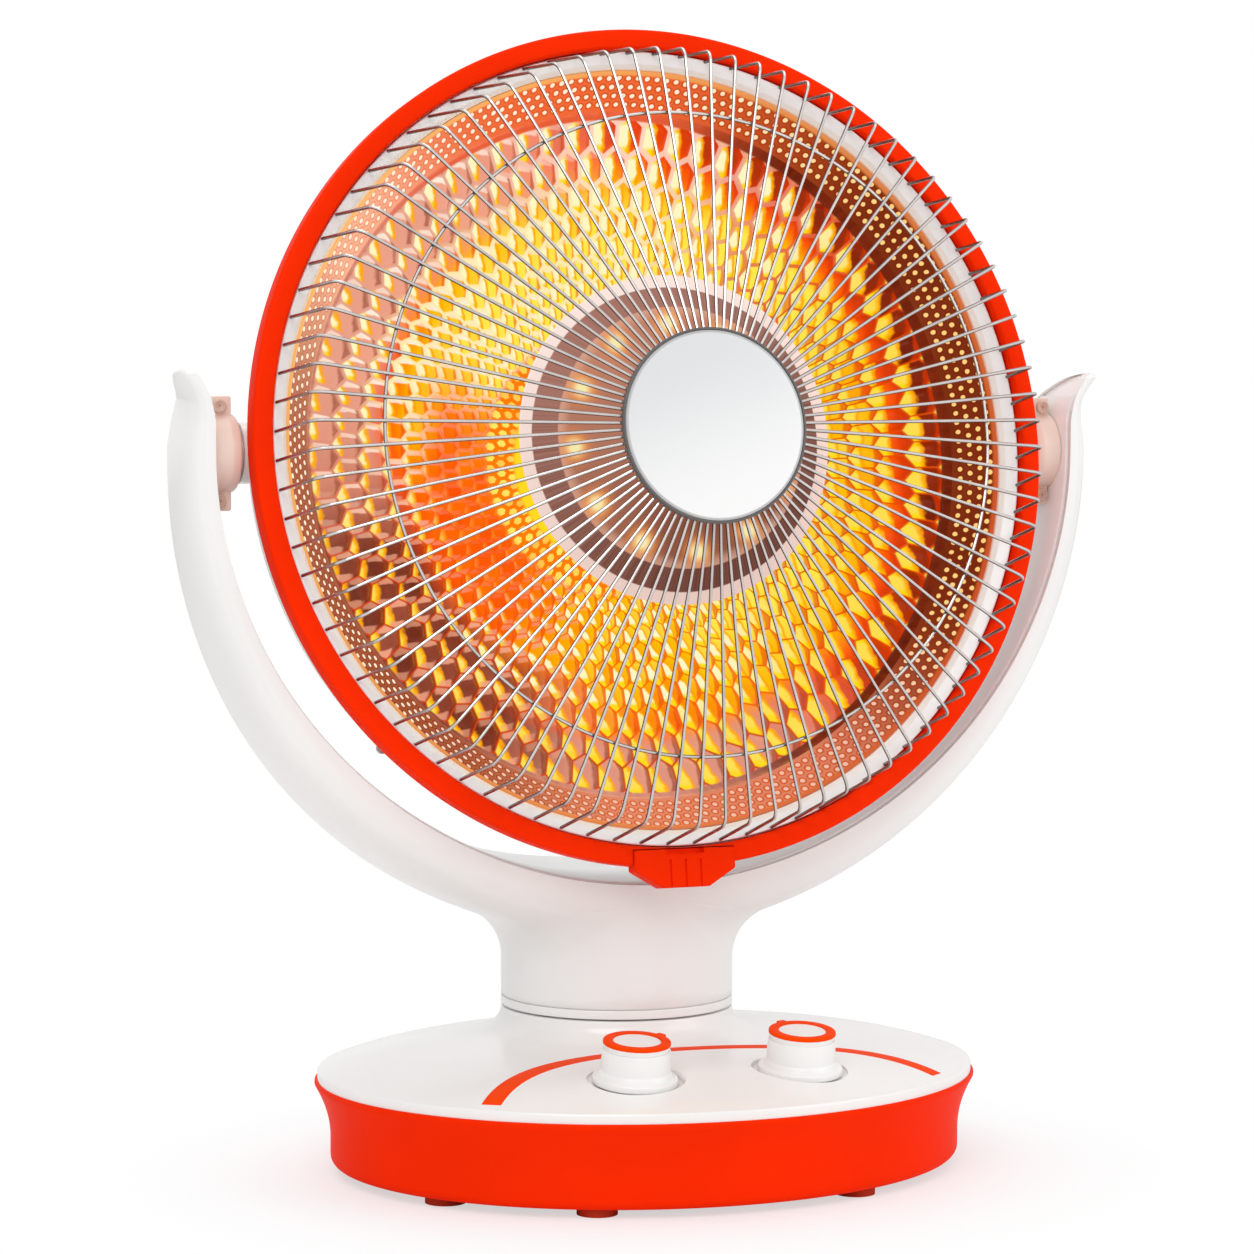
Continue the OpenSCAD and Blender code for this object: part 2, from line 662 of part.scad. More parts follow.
module yoke_shell() { color(white) skin([for (s = stations) shell_ring(s)]); }

// The turning spindle: a flange inside the neck, and a tube through the collar
flange_h = 4;
flange_gap = 0.2;
module spindle() {
    color(white) difference() {
        union() {
            translate([0, neck_y, neck_z]) cylinder(h = groove, d = neck_d - 2);
            translate([0, neck_y, neck_z + groove - eps]) cylinder(h = flange_h, d = neck_d - 2 * neck_wall - 2 * flange_gap);
            translate([0, neck_y, collar_z - collar_floor - gap]) cylinder(h = neck_z - collar_z + collar_floor + gap + eps, d = spindle_d);
        }
        translate([0, neck_y, 0]) cylinder(h = pivot_z, d = spindle_in);
        for (a = gear_screw_angles) translate([0, neck_y, 0]) rotate(a) translate([gear_screw_r, 0, 0])
            cylinder(h = neck_z - 1, d = gear_screw_d + 2 * run, $fn = 24);
    }
}

function cover_ring(s) = let (h = s[6] - yoke_wall - gap, mid = front_y + s[6]) [
    spot(s, s[4], mid - h + 1), spot(s, s[4] + 1, mid - h), spot(s, s[4] + cover_t, mid - h),
    spot(s, s[4] + cover_t, mid + h), spot(s, s[4] + 1, mid + h), spot(s, s[4], mid + h - 1)];
cover_tip = 3;          // tip stations that the inner cover leaves out
module yoke_inner_cover() {
    color(white) skin([for (i = [cover_tip:len(stations) - 1 - cover_tip]) cover_ring(stations[i])]);
}

// --- pivots ---------------------------------------------------------------------
block_d = 32;
block_ear_h = 7;
block_ear_w = 9;
block_ear_d = 12;
washer_t = 1.5;
hub_d = 24;
hub_face = ring_r + 0.5;
module at_pivot(side) { translate([0, pivot_y, pivot_z]) rotate([0, side * 90, 0]) children(); }

module pivot_block(side) {
    block_face = hub_face + washer_t + 2 * run;
    color(white) at_pivot(side) difference() {
        intersection() {
            union() {
                translate([0, 0, block_face]) cylinder(h = in_side - block_face, d = block_d, $fn = 72);
                for (s = [-1, 1]) translate([s * block_screw_at - block_ear_h / 2 - 0.5, -block_ear_d / 2, in_side - block_ear_w])
                    cube([block_ear_h + 1, block_ear_d, block_ear_w]);
            }
            // the back follows the curve of the arm
            rotate([90, 0, 0]) cylinder(h = 2 * block_d, r = in_side - 0.6, center = true, $fn = 180);
        }
        translate([0, 0, 0]) cylinder(h = yoke_r, d = pivot_pin_d + 2 * run, $fn = 48);
        for (s = [-1, 1]) translate([s * block_screw_at, 0, in_side - block_ear_w / 2]) rotate([90, 0, 0])
            cylinder(h = block_ear_d + 2, d = 3 + gap, center = true, $fn = 24);
    }
}
block_screw_at = block_d / 2 + block_ear_h / 2 - 1;
module block_screws() {
    color(steel) for (side = [-1, 1]) at_pivot(side) for (s = [-1, 1])
        translate([s * block_screw_at, 0, in_side - block_ear_w / 2]) rotate([90, 0, 0]) {
            translate([0, 0, block_ear_d / 2 + 0.02]) cylinder(h = 1.6, d = 5.4, $fn = 24);
            translate([0, 0, -block_ear_d / 2]) cylinder(h = block_ear_d + 0.1, d = 3, $fn = 24);
        }
}
module friction_washers() {
    color(iron) for (side = [-1, 1]) at_pivot(side) translate([0, 0, hub_face + run]) difference() {
        cylinder(h = washer_t, d = hub_d - 4, $fn = 64);
        translate([0, 0, -1]) cylinder(h = washer_t + 2, d = pivot_pin_d + 2 * run, $fn = 48);
    }
}
// Puts +Z along the head's axis, out of its front, with +Y up and the pivots at 0
module in_head() {
    translate([0, pivot_y, pivot_z]) rotate([90 - head_tilt, 0, 0]) children();
}
module on_side(side) { in_head() rotate([0, side * 90, 0]) children(); }

module pivot_hubs() {
    color(white) for (side = [-1, 1]) on_side(side) difference() {
        translate([0, 0, hub_seat + 0.02]) cylinder(h = hub_face - hub_seat - 0.02, d = hub_d, $fn = 72);
        cylinder(h = yoke_r, d = pivot_pin_d, $fn = 48);
    }
}
pin_head_h = 5;
pin_head_d = 11.6;
module pivot_pins() {
    color(steel) for (side = [-1, 1]) on_side(side) {
        translate([0, 0, house_side - house_wall - pin_head_h - 0.4]) cylinder(h = pin_head_h, d = pin_head_d, $fn = 6);
        translate([0, 0, house_side - house_wall - 1]) cylinder(h = in_side - 1 - house_side + house_wall, d = pivot_pin_d, $fn = 48);
    }
}

// --- head -------------------------------------------------------------------------
ring_front = ring_fwd + ring_depth / 2;
ring_back = ring_fwd - ring_depth / 2;
house_r = ring_r - 4.2;         // outside of the housing just behind the ring
house_side = house_r - 3.4;     // outside of the housing at the pivots
house_wall = 2.4;
hub_seat = house_side - 0.4;    // flat spot on the housing for a pivot hub
edge_in = 15.4;
edge_r = ring_r - edge_in;      // outer edge of the reflector
edge_f = ring_back + 1;
stipple_in = edge_r - band_w;
step_w = 2;
dish_r = stipple_in - step_w;
dish_f = edge_f - band_drop - step_depth;
dish_t = 0.8;
socket_r = 20;
socket_rim = 4;
dish_back = dish_f - dish_depth;

// The parabola of the dish, from its rim to the socket's hole
dish_steps = 12;
function dish_pts(off) = [for (i = [0:dish_steps])
    let (r = dish_r - (dish_r - socket_r) * i / dish_steps)
    [r, dish_back + dish_depth * pow(r / dish_r, 2) - off]];

module reflector() {
    color([0.9, 0.75, 0.6]) in_head() rotate_extrude() polygon(concat(
        [[edge_r, edge_f], [stipple_in, edge_f - band_drop]],
        [[dish_r + 0.5, dish_f]],
        dish_pts(0),
        [for (i = [dish_steps:-1:0]) dish_pts(dish_t)[i]],
        [[dish_r + 1.6, dish_f - dish_t], [stipple_in + 1, edge_f - band_drop - dish_t],
         [edge_r, edge_f - 1.6 * dish_t]]));
}

house_deep = 27;                // space for the socket behind the dish
house_back = dish_back - house_deep;
through = 80;                   // length of a cut that goes all the way

// The housing's outside, as radius and distance in front of the pivots: the
// white lip seen between the front ring and the reflector, then the back
house_pts = [[edge_r + gap, ring_back + 2.4], [ring_r - ring_face - gap, ring_fwd + 2],
    [ring_r - ring_face - gap, ring_back - gap], [house_r, ring_back - gap], [house_r, ring_back - 6],
    [house_side, ring_back - 10], [house_side, -16], [house_side - 6, -26], [house_side - 20, -40],
    [house_side - 44, -54], [house_side - 76, -64], [house_side - 104, house_back]];
house_shoulder = 5;             // first point of the back proper in that list
module rear_housing() {
    color(white) difference() {
        union() {
            in_head() rotate_extrude() polygon(concat(
                house_pts,
                [[0, house_back], [0, house_back + house_wall]],
                [for (i = [len(house_pts) - 1:-1:house_shoulder]) house_pts[i]
                    + [-house_wall, i > house_shoulder + 4 ? house_wall : 1.2]],
                [[house_side - house_wall, ring_back - 7], [edge_r + gap, ring_back - 4]]));
            for (a = house_screw_angles) in_head() rotate(a) translate([house_screw_r, 0, ring_back - lug_h])
                cylinder(h = lug_h - 2 * gap, d = lug_d, $fn = 32);
        }
        for (side = [-1, 1]) on_side(side) translate([0, 0, house_side - 20]) cylinder(h = 40, d = pivot_pin_d + 2 * run, $fn = 48);
        for (side = [-1, 1]) on_side(side) translate([0, 0, hub_seat]) cylinder(h = 20, d = hub_d + 2 * gap);
        for (a = house_screw_angles) in_head() rotate(a) translate([house_screw_r, 0, ring_back - 20])
            cylinder(h = 30, d = 3 + gap, $fn = 24);
        for (i = [0:vent_count - 1]) in_head() rotate(i * 360 / vent_count)
            translate([house_side - vent_in, -vent_w / 2, dish_back - through / 2]) cube([vent_l, vent_w, through / 2]);
    }
}
vent_count = 24;
vent_in = 90.4;         // distance from the housing's side in to a vent's inner end
vent_l = 22;
vent_w = 4;
house_screw_angles = [45, 135, 225, 315];
house_screw_r = ring_r - 4;
lug_h = 9;              // height of the housing's screw lugs
lug_d = 8;
house_screw_head = [5, 2];      // diameter and height
module housing_screws() {
    color(steel) for (a = house_screw_angles) in_head() rotate(a) translate([house_screw_r, 0, ring_back - lug_h - house_screw_head[1] - 0.02]) {
        cylinder(h = house_screw_head[1], d = house_screw_head[0], $fn = 24);
        translate([0, 0, house_screw_head[1] - 0.1]) cylinder(h = lug_h + ring_depth - 3, d = 2.9, $fn = 24);
    }
}

latch_w = 43;
latch_low_w = 20;
latch_r = ring_r + 8;
latch_top = ring_r - ring_face + 0.6;
latch_front = ring_front + 1.5;
latch_back = ring_back + 3;
pin_r = ring_r + 1.6;
pin_f = ring_back - 2.6;
latch_pin_d = 2.4;

module latch_2d(grow) {
    offset_w = latch_w / 2 + grow;
    low = latch_low_w / 2 + grow;
    mid = ring_r + 1;
    polygon([[-offset_w, -latch_top + grow], [offset_w, -latch_top + grow], [offset_w, -mid],
        [low, -latch_r - grow], [-low, -latch_r - grow], [-offset_w, -mid]]);
}

module front_ring() {
    color(orange) in_head() difference() {
        union() {
            rotate_extrude($fn = 180) polygon([[ring_r - ring_face, ring_back + 2.6], [ring_r - ring_face, ring_front - 1.5],
                [ring_r - ring_face + 1.5, ring_front], [ring_r - 2, ring_front], [ring_r, ring_front - 2], [ring_r, ring_back + eps],
                [ring_r - 3, ring_back], [ring_r - 3, ring_back + 2.6]]);
            for (s = [-1, 1]) translate([s * 9.7 - 1.6, 0, 0]) rotate([90, 0, 90]) linear_extrude(3.2) {
                translate([-pin_r, pin_f]) circle(r = 2.8, $fn = 32);
                translate([-pin_r, pin_f - 2.6]) square([6, 5.6]);
            }
        }
        translate([0, 0, latch_back - gap]) linear_extrude(20) latch_2d(0.4);
        translate([-through / 2, -pin_r, pin_f]) rotate([0, 90, 0]) cylinder(h = through, d = latch_pin_d, $fn = 32);
        for (a = house_screw_angles) rotate(a) translate([house_screw_r, 0, 0]) cylinder(h = ring_front - 2, d = 3, $fn = 24);
    }
}

module ring_latch() {
    color(orange) in_head() difference() {
        union() {
            translate([0, 0, latch_back]) linear_extrude(latch_front - latch_back) latch_2d(0);
            translate([-7.7, -pin_r, pin_f]) rotate([0, 90, 0]) cylinder(h = 15.4, r = 2.8, $fn = 48);
            translate([-7.7, -pin_r - 2.8, pin_f]) cube([15.4, 4.2, latch_back - pin_f + 1]);
        }
        translate([-through / 2, -pin_r, pin_f]) rotate([0, 90, 0]) cylinder(h = through, d = latch_pin_d + 2 * 0.06, $fn = 32);
        for (x = [-6.5, 0, 6.5]) translate([x - 0.5, -latch_r - 1, latch_front - 0.8]) cube([1, 10, 2]);
        translate([-8, -latch_top - 2, latch_front - 3]) cube([16, 4, 5]);
    }
}
module latch_pin() {
    color(steel) in_head() translate([-11.3, -pin_r, pin_f]) rotate([0, 90, 0]) cylinder(h = 22.6, d = latch_pin_d, $fn = 32);
}

// --- guard ---------------------------------------------------------------------------
cap_f = ring_fwd + cap_fwd;
cap_t = 3;
hub_r = cap_d / 2 - 1.5;
wire_r = wire_d / 2;
hub_f = cap_f - cap_t - wire_d - 0.2;   // back of the wires at the hub
bend_r = ring_r - bend_in;
hoop_r = ring_r - hoop_in;
bend_f = ring_fwd + bend_fwd;
rest_r = ring_r - ring_face - gap - 0.6;
rest_f = ring_fwd + 2.4;
wire_in = hub_r - 3;
hub_drop = 0.7;         // the wires slope down this much across the hub plate

// A straight wire between two points of the plane of radius and height
module rod(p, q, over) {
    d = q - p;
    l = norm(d);
    translate([p[0], 0, p[1]]) rotate([0, atan2(d[0], d[1]), 0]) translate([0, 0, -over])
        cylinder(h = l + 2 * over, d = wire_d, $fn = 16);
}
wire_a = [wire_in, hub_f + wire_r];
wire_b = [bend_r, bend_f];
wire_c = [rest_r - wire_r, rest_f];
module guard_wires() {
    color(steel) in_head() for (i = [0:wire_count - 1]) rotate((i + 0.5) * 360 / wire_count) {
        rod(wire_a, wire_b, 0.5);
        rod(wire_b, wire_c, 0.5);
    }
}
function wire_f(r) = wire_a[1] + (wire_b[1] - wire_a[1]) * (r - wire_a[0]) / (wire_b[0] - wire_a[0]);
module guard_hoop() {
    color(steel) in_head() rotate_extrude($fn = 180) translate([hoop_r, wire_f(hoop_r) - wire_d - 0.15]) circle(d = wire_d, $fn = 16);
}
module guard_hub() {
    color(steel) in_head() translate([0, 0, hub_f - hub_drop - 2]) difference() {
        cylinder(h = 2, r = hub_r);
        translate([0, 0, -1]) cylinder(h = 4, r = hub_r - 14);
    }
}
module hub_cap() {
    color(white) in_head() union() {
        translate([0, 0, cap_f - cap_t]) cylinder(h = cap_t, d = cap_d - 2 * cap_rim_t - 0.04);
        translate([0, 0, hub_f - hub_drop - 2]) cylinder(h = cap_f - hub_f + hub_drop, r = hub_r - 14.1);
    }
}
cap_rim_t = 1;
module cap_rim() {
    color(black) in_head() translate([0, 0, cap_f - cap_t]) difference() {
        cylinder(h = cap_t - 0.4, d = cap_d);
        translate([0, 0, -1]) cylinder(h = cap_t + 2, d = cap_d - 2 * cap_rim_t);
    }
}

// --- element ---------------------------------------------------------------------------
shade_f = ring_fwd + shade_fwd;
shade_t = 1;
face_r = shade_face_d / 2;
cone_r = shade_d / 2 - 5;
glow_in = 6.5;          // distance of the glow holes from the face's edge
glow_turn = 5;          // angle of the first one
module shade() {
    color([0.45, 0.25, 0.2]) in_head() difference() {
        rotate_extrude() polygon([[shade_d / 2, shade_f], [shade_d / 2, shade_f + shade_t], [cone_r, shade_f + shade_t],
            [face_r, shade_f + shade_h], [0, shade_f + shade_h], [0, shade_f + shade_h - shade_t],
            [face_r - 0.7, shade_f + shade_h - shade_t], [cone_r - 0.7, shade_f]]);
        for (i = [0:glow_holes - 1]) rotate(glow_turn + i * 360 / glow_holes) translate([face_r - glow_in, 0, shade_f])
            cylinder(h = 20, d = glow_hole_d, $fn = 32);
        translate([0, 0, shade_f]) cylinder(h = 20, d = stud_d + gap, $fn = 32);
    }
}
stud_d = 6;
nut_across = 11;
module shade_nut() {
    color(steel) in_head() translate([0, 0, shade_f + shade_h + 0.02]) difference() {
        cylinder(h = 4, d = nut_across, $fn = 6);
        translate([0, 0, -1]) cylinder(h = 6, d = stud_d + 0.04, $fn = 32);
    }
}
core_top = shade_f + shade_h - shade_t - 0.02;
socket_f = dish_back + 2;
coil_t = 4;
coil_d = core_d + 2 * coil_t;
coil_lift = 23;         // height of the coil's start above the dish's bottom
coil_from = dish_back + coil_lift;
collar_t = 5;           // thickness of the core's end collars
socket_t = 5.9;
terminal_d = 3;
terminal_at = 9;
terminal_l = 18;
terminal_in = 5;        // how far a terminal stands into the socket's face
module ceramic_core() {
    color(white) in_head() {
        translate([0, 0, socket_f + socket_t + 0.1]) cylinder(h = core_top - socket_f - socket_t - 0.1, d = core_d);
        translate([0, 0, core_top - eps]) cylinder(h = shade_t + 6, d = stud_d, $fn = 32);
        translate([0, 0, core_top - collar_t]) cylinder(h = collar_t, d = coil_d + coil_t);
        translate([0, 0, coil_from - collar_t]) cylinder(h = collar_t - gap, d = coil_d + coil_t);
    }
}
// The winding, as the sleeve that its turns fill
module heating_coil() {
    color([1, 0.5, 0.15]) in_head() translate([0, 0, coil_from]) difference() {
        cylinder(h = core_top - collar_t - gap - coil_from, d = coil_d);
        translate([0, 0, -1]) cylinder(h = through, d = core_d + 2 * gap);
    }
}
module element_socket() {
    color(white) in_head() difference() {
        union() {
            translate([0, 0, house_back + house_wall + gap])
                cylinder(h = socket_f + socket_t - house_back - house_wall - gap, r = socket_r - socket_rim);
            translate([0, 0, socket_f]) cylinder(h = socket_t, r = socket_r + socket_rim);
        }
        for (s = [-1, 1]) translate([s * terminal_at, 0, dish_back - through / 2]) cylinder(h = through, d = terminal_d + gap, $fn = 24);
    }
}
module terminals() {
    color(steel) in_head() for (s = [-1, 1]) translate([s * terminal_at, 0, socket_f + terminal_in - terminal_l])
        cylinder(h = terminal_l, d = terminal_d, $fn = 24);
}

base_tray();
base_cover();
stripe_inlay();
base_weight();
rubber_feet();
base_screws();
heat_switch();
timer();
switch_nuts();
cord_gland();
tip_switch();
tip_plunger();
swing_motor();
motor_screws();
motor_pinion();
slip_washer();
swing_gear();
gear_screws();
color(white) at_knob(-1) knob_body();  // knob_left
color(orange) at_knob(-1) knob_ring(tab_left);  // knob_left_ring
color(white) at_knob(1) knob_body();  // knob_right
color(orange) at_knob(1) knob_ring(tab_right);  // knob_right_ring
yoke_shell();
yoke_inner_cover();
neck_column();
spindle();
swivel_trim();
pivot_block(-1);  // pivot_block_left
pivot_block(1);  // pivot_block_right
block_screws();
friction_washers();
pivot_hubs();
pivot_pins();
rear_housing();
housing_screws();
reflector();
front_ring();
ring_latch();
latch_pin();
guard_wires();
guard_hoop();
guard_hub();
hub_cap();
cap_rim();
shade();
shade_nut();
ceramic_core();
heating_coil();
element_socket();
terminals();
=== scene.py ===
"""Looks of the parabolic heater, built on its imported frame.

Sizes are in millimetres until a mesh is made. The row frame has +Z up and the
head facing -Y. The head's own frame has its origin between the pivots, +Z out
of its front and +Y up.
"""
from __future__ import annotations

import json
import logging
import math
from dataclasses import dataclass
from enum import Enum
from typing import Callable, Iterable, Sequence

import bmesh
import bpy
import numpy as np
from mathutils import Matrix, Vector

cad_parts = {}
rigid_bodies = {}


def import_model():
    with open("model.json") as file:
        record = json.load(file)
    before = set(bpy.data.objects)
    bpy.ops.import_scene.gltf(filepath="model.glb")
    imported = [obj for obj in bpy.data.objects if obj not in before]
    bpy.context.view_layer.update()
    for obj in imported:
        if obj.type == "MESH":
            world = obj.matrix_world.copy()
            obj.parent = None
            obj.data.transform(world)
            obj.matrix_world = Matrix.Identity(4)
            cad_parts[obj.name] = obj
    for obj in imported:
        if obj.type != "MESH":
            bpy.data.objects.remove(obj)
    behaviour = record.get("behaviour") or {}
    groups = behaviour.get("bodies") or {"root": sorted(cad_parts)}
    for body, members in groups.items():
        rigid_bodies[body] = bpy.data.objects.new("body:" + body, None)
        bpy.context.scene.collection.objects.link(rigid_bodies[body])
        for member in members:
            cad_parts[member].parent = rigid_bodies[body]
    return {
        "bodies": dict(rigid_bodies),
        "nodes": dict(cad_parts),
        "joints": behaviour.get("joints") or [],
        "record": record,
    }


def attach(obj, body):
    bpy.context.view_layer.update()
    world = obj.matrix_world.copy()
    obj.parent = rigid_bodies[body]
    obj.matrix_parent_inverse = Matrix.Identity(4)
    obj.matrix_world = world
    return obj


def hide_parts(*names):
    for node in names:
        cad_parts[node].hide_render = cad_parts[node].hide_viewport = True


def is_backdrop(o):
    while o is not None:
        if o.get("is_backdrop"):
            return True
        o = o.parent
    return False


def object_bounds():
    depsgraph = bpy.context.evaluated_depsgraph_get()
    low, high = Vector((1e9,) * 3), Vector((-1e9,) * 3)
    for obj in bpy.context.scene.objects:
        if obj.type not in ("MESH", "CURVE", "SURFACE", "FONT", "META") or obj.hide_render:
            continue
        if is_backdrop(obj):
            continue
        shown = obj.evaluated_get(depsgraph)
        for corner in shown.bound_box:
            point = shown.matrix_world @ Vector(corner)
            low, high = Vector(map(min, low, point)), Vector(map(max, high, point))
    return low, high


LOG = logging.getLogger("heater")
MM = 0.001
Colour = tuple[float, float, float]

NECK_Y = 34.5
PIVOT_Y = 8.0
PIVOT_Z = 291.1
HEAD_TILT = 8.6
RING_FWD = 18.0
RING_R = 170.0
DISH_R = 139.6
DISH_PLAIN_R = 138.8
DISH_FRONT = -7.0
DISH_DEPTH = 32.0


class Body(str, Enum):
    """The rigid bodies that the pieces ride on."""

    BASE = "base"
    YOKE = "yoke"
    HEAD = "head"
    LATCH = "latch"
    LEFT_KNOB = "left_knob"
    RIGHT_KNOB = "right_knob"


# --- shapes ------------------------------------------------------------------


def smoothstep(low: float, high: float, value: np.ndarray) -> np.ndarray:
    """Rises from 0 at low to 1 at high along 3t^2 - 2t^3.

    Args:
        low: Where the rise starts.
        high: Where it ends.
        value: The values to judge.

    Returns:
        The risen values, from 0 to 1.
    """
    t = np.clip((value - low) / (high - low), 0.0, 1.0)
    return t * t * (3.0 - 2.0 * t)


def rounded(corners: Sequence[tuple[float, float, float]], steps: int = 5) -> np.ndarray:
    """Rounds the corners of a closed outline with arcs tangent to both sides.

    Args:
        corners: Each corner's two coordinates and its radius.
        steps: Points on each arc, less one.

    Returns:
        The outline's points, one row each.
    """
    points: list[np.ndarray] = []
    count = len(corners)
    for index, (x, y, radius) in enumerate(corners):
        here = np.array([x, y], dtype=float)
        if radius <= 0:
            points.append(here[None])
            continue
        before = np.array(corners[index - 1][:2], dtype=float) - here
        after = np.array(corners[(index + 1) % count][:2], dtype=float) - here
        before /= np.linalg.norm(before)
        after /= np.linalg.norm(after)
        half = math.acos(float(np.clip(before @ after, -1, 1))) / 2
        if half > math.radians(89.9):
            points.append(here[None])
            continue
        middle = (before + after) / np.linalg.norm(before + after)
        centre = here + middle * radius / math.sin(half)
        first = here + before * radius / math.tan(half) - centre
        last = here + after * radius / math.tan(half) - centre
        swing = math.pi - 2 * half
        share = np.linspace(0, 1, steps + 1)[:, None]
        points.append(centre + (np.sin((1 - share) * swing) * first + np.sin(share * swing) * last)
                      / math.sin(swing))
    return np.concatenate(points)


def in_head(points: np.ndarray) -> np.ndarray:
    """Turns points of the head's own frame into the row frame."""
    lean = math.radians(90 - HEAD_TILT)
    x, y, z = points[..., 0], points[..., 1], points[..., 2]
    return np.stack([x, PIVOT_Y + y * math.cos(lean) - z * math.sin(lean),
                     PIVOT_Z + y * math.sin(lean) + z * math.cos(lean)], axis=-1)


def about_neck(points: np.ndarray) -> np.ndarray:
    """Moves points from the neck's own axis to the row frame."""
    return points + np.array([0.0, NECK_Y, 0.0])


@dataclass
class Shape:
    """Points in millimetres, the faces between them, and for each point, if it has one, a painted sheen that
    the wire's material turns into painted highlight and shade.
    """

    points: np.ndarray
    faces: list[list[int]]
    tone: np.ndarray | None = None

    @classmethod
    def grid(cls, points: np.ndarray, wrap_rows: bool = True, wrap_columns: bool = True) -> "Shape":
        """Joins neighbours of a grid with four-sided faces.

        Args:
            points: An array of rows by columns by 3.
            wrap_rows: Whether the last row meets the first, else both are capped.
            wrap_columns: Whether the last column meets the first.

        Returns:
            The grid's shape, closed where it wraps or is capped.
        """
        rows, columns = points.shape[:2]
        index = np.arange(rows * columns).reshape(rows, columns)
        down = index if wrap_rows else index[:-1]
        next_down = np.roll(index, -1, axis=0) if wrap_rows else index[1:]
        if wrap_columns:
            quads = [down, np.roll(down, -1, axis=1), np.roll(next_down, -1, axis=1), next_down]
        else:
            quads = [down[:, :-1], down[:, 1:], next_down[:, 1:], next_down[:, :-1]]
        faces = np.stack([q.ravel() for q in quads], axis=1).tolist()
        if not wrap_rows and wrap_columns:
            faces.append(index[0, ::-1].tolist())
            faces.append(index[-1].tolist())
        return cls(points.reshape(-1, 3), faces)

    @classmethod
    def revolved(cls, profile: np.ndarray, steps: int = 180, squeeze: float = 1.0) -> "Shape":
        """Turns a closed profile of radius and height round the Z axis.

        Args:
            profile: Rows of radius and height.
            steps: Steps in the full turn.
            squeeze: Depth over width of the turn, below 1 for an oval.

        Returns:
            Points (r cos a, r sin a * squeeze, h) for every angle a and profile point.
        """
        turn = np.linspace(0, 2 * math.pi, steps, endpoint=False)[:, None]
        radius, height = profile[None, :, 0], profile[None, :, 1]
        return cls.grid(np.stack([radius * np.cos(turn), radius * np.sin(turn) * squeeze,
                                  height + 0 * turn], axis=-1))

    @classmethod
    def spokes(cls, turn: np.ndarray, radii: Sequence[object], heights: Sequence[object],
               centre_y: float = 0.0) -> "Shape":
        """Joins one closed section for each direction round an axis.

        Args:
            turn: The directions in radians, as a column.
            radii: Radii along the section, each one number, a column or a block of columns.
            heights: Heights along the section, in the same way.
            centre_y: Where the axis stands along Y.

        Returns:
            The shape that the sections span.
        """
        blocks = []
        for values in (radii, heights):
            tables = [np.atleast_2d(value) for value in values]
            blocks.append(np.concatenate(
                [np.broadcast_to(table, (len(turn), table.shape[1])) for table in tables], axis=1))
        radius, height = blocks
        return cls.grid(np.stack([radius * np.cos(turn), centre_y + radius * np.sin(turn), height], axis=-1))

    @classmethod
    def tube(cls, path: np.ndarray, side: np.ndarray, radius: float, sides: int = 8,
             closed: bool = False) -> "Shape":
        """Carries a circle along a path.

        Args:
            path: Rows of the path's points.
            side: For each point a direction that is never along the path.
            radius: Radius of the tube.
            sides: Corners of the circle.
            closed: Whether the path ends where it starts.

        Returns:
            Path point + radius (n cos a + b sin a), with n and b square to the path.
        """
        if closed:
            along = np.roll(path, -1, axis=0) - np.roll(path, 1, axis=0)
        else:
            along = np.gradient(path, axis=0)
        along /= np.linalg.norm(along, axis=1, keepdims=True)
        first = np.cross(along, side)
        first /= np.linalg.norm(first, axis=1, keepdims=True)
        second = np.cross(along, first)
        turn = np.linspace(0, 2 * math.pi, sides, endpoint=False)[None, :, None]
        away = first[:, None] * np.cos(turn) + second[:, None] * np.sin(turn)
        shape = cls.grid(path[:, None] + radius * away, wrap_rows=closed)
        # painted sheen: how much each point faces +Z, the front in the head's frame, more where the path runs
        # along Z
        shape.tone = (away[..., 2] + 0.55 * along[:, None, 2] ** 2).ravel()
        return shape

    @classmethod
    def prism(cls, outline: np.ndarray, low: float, high: float, soft: float = 0.4) -> "Shape":
        """Stands an outline up between two heights, with its rims chamfered.

        Args:
            outline: Rows of x and y, in order.
            low: Height of its underside.
            high: Height of its top.
            soft: Size of the rims' chamfers.

        Returns:
            The closed prism.
        """
        centre = outline.mean(axis=0)
        away = outline - centre
        inner = centre + away * (1 - soft / np.linalg.norm(away, axis=1, keepdims=True))
        layers = [(inner, low), (outline, low + soft), (outline, high - soft), (inner, high)]
        rows = [np.column_stack([flat, np.full(len(flat), level)]) for flat, level in layers]
        return cls.grid(np.stack(rows), wrap_rows=False)

    @classmethod
    def joined(cls, shapes: Iterable["Shape"]) -> "Shape":
        """Puts shapes together as one, each still closed on its own."""
        points: list[np.ndarray] = []
        faces: list[list[int]] = []
        painted_sheens: list[np.ndarray] = []
        start = 0
        for shape in shapes:
            points.append(shape.points)
            faces.extend([[corner + start for corner in face] for face in shape.faces])
            painted_sheens.append(np.zeros(len(shape.points)) if shape.tone is None else shape.tone)
            start += len(shape.points)
        return cls(np.concatenate(points), faces, np.concatenate(painted_sheens))

    def placed(self, place: Callable[[np.ndarray], np.ndarray]) -> "Shape":
        """The same faces with every point put through place."""
        return Shape(place(self.points), self.faces, self.tone)


def circle(radius: float, steps: int = 32, centre: tuple[float, float] = (0, 0)) -> np.ndarray:
    """Points of a circle, counter-clockwise."""
    turn = np.linspace(0, 2 * math.pi, steps, endpoint=False)
    return np.column_stack([centre[0] + radius * np.cos(turn), centre[1] + radius * np.sin(turn)])


def turned(angle: float) -> Callable[[np.ndarray], np.ndarray]:
    """A turn about Z by an angle in degrees."""
    c, s = math.cos(math.radians(angle)), math.sin(math.radians(angle))
    matrix = np.array([[c, s, 0], [-s, c, 0], [0, 0, 1.0]])
    return lambda points: points @ matrix


# --- shader graphs -----------------------------------------------------------


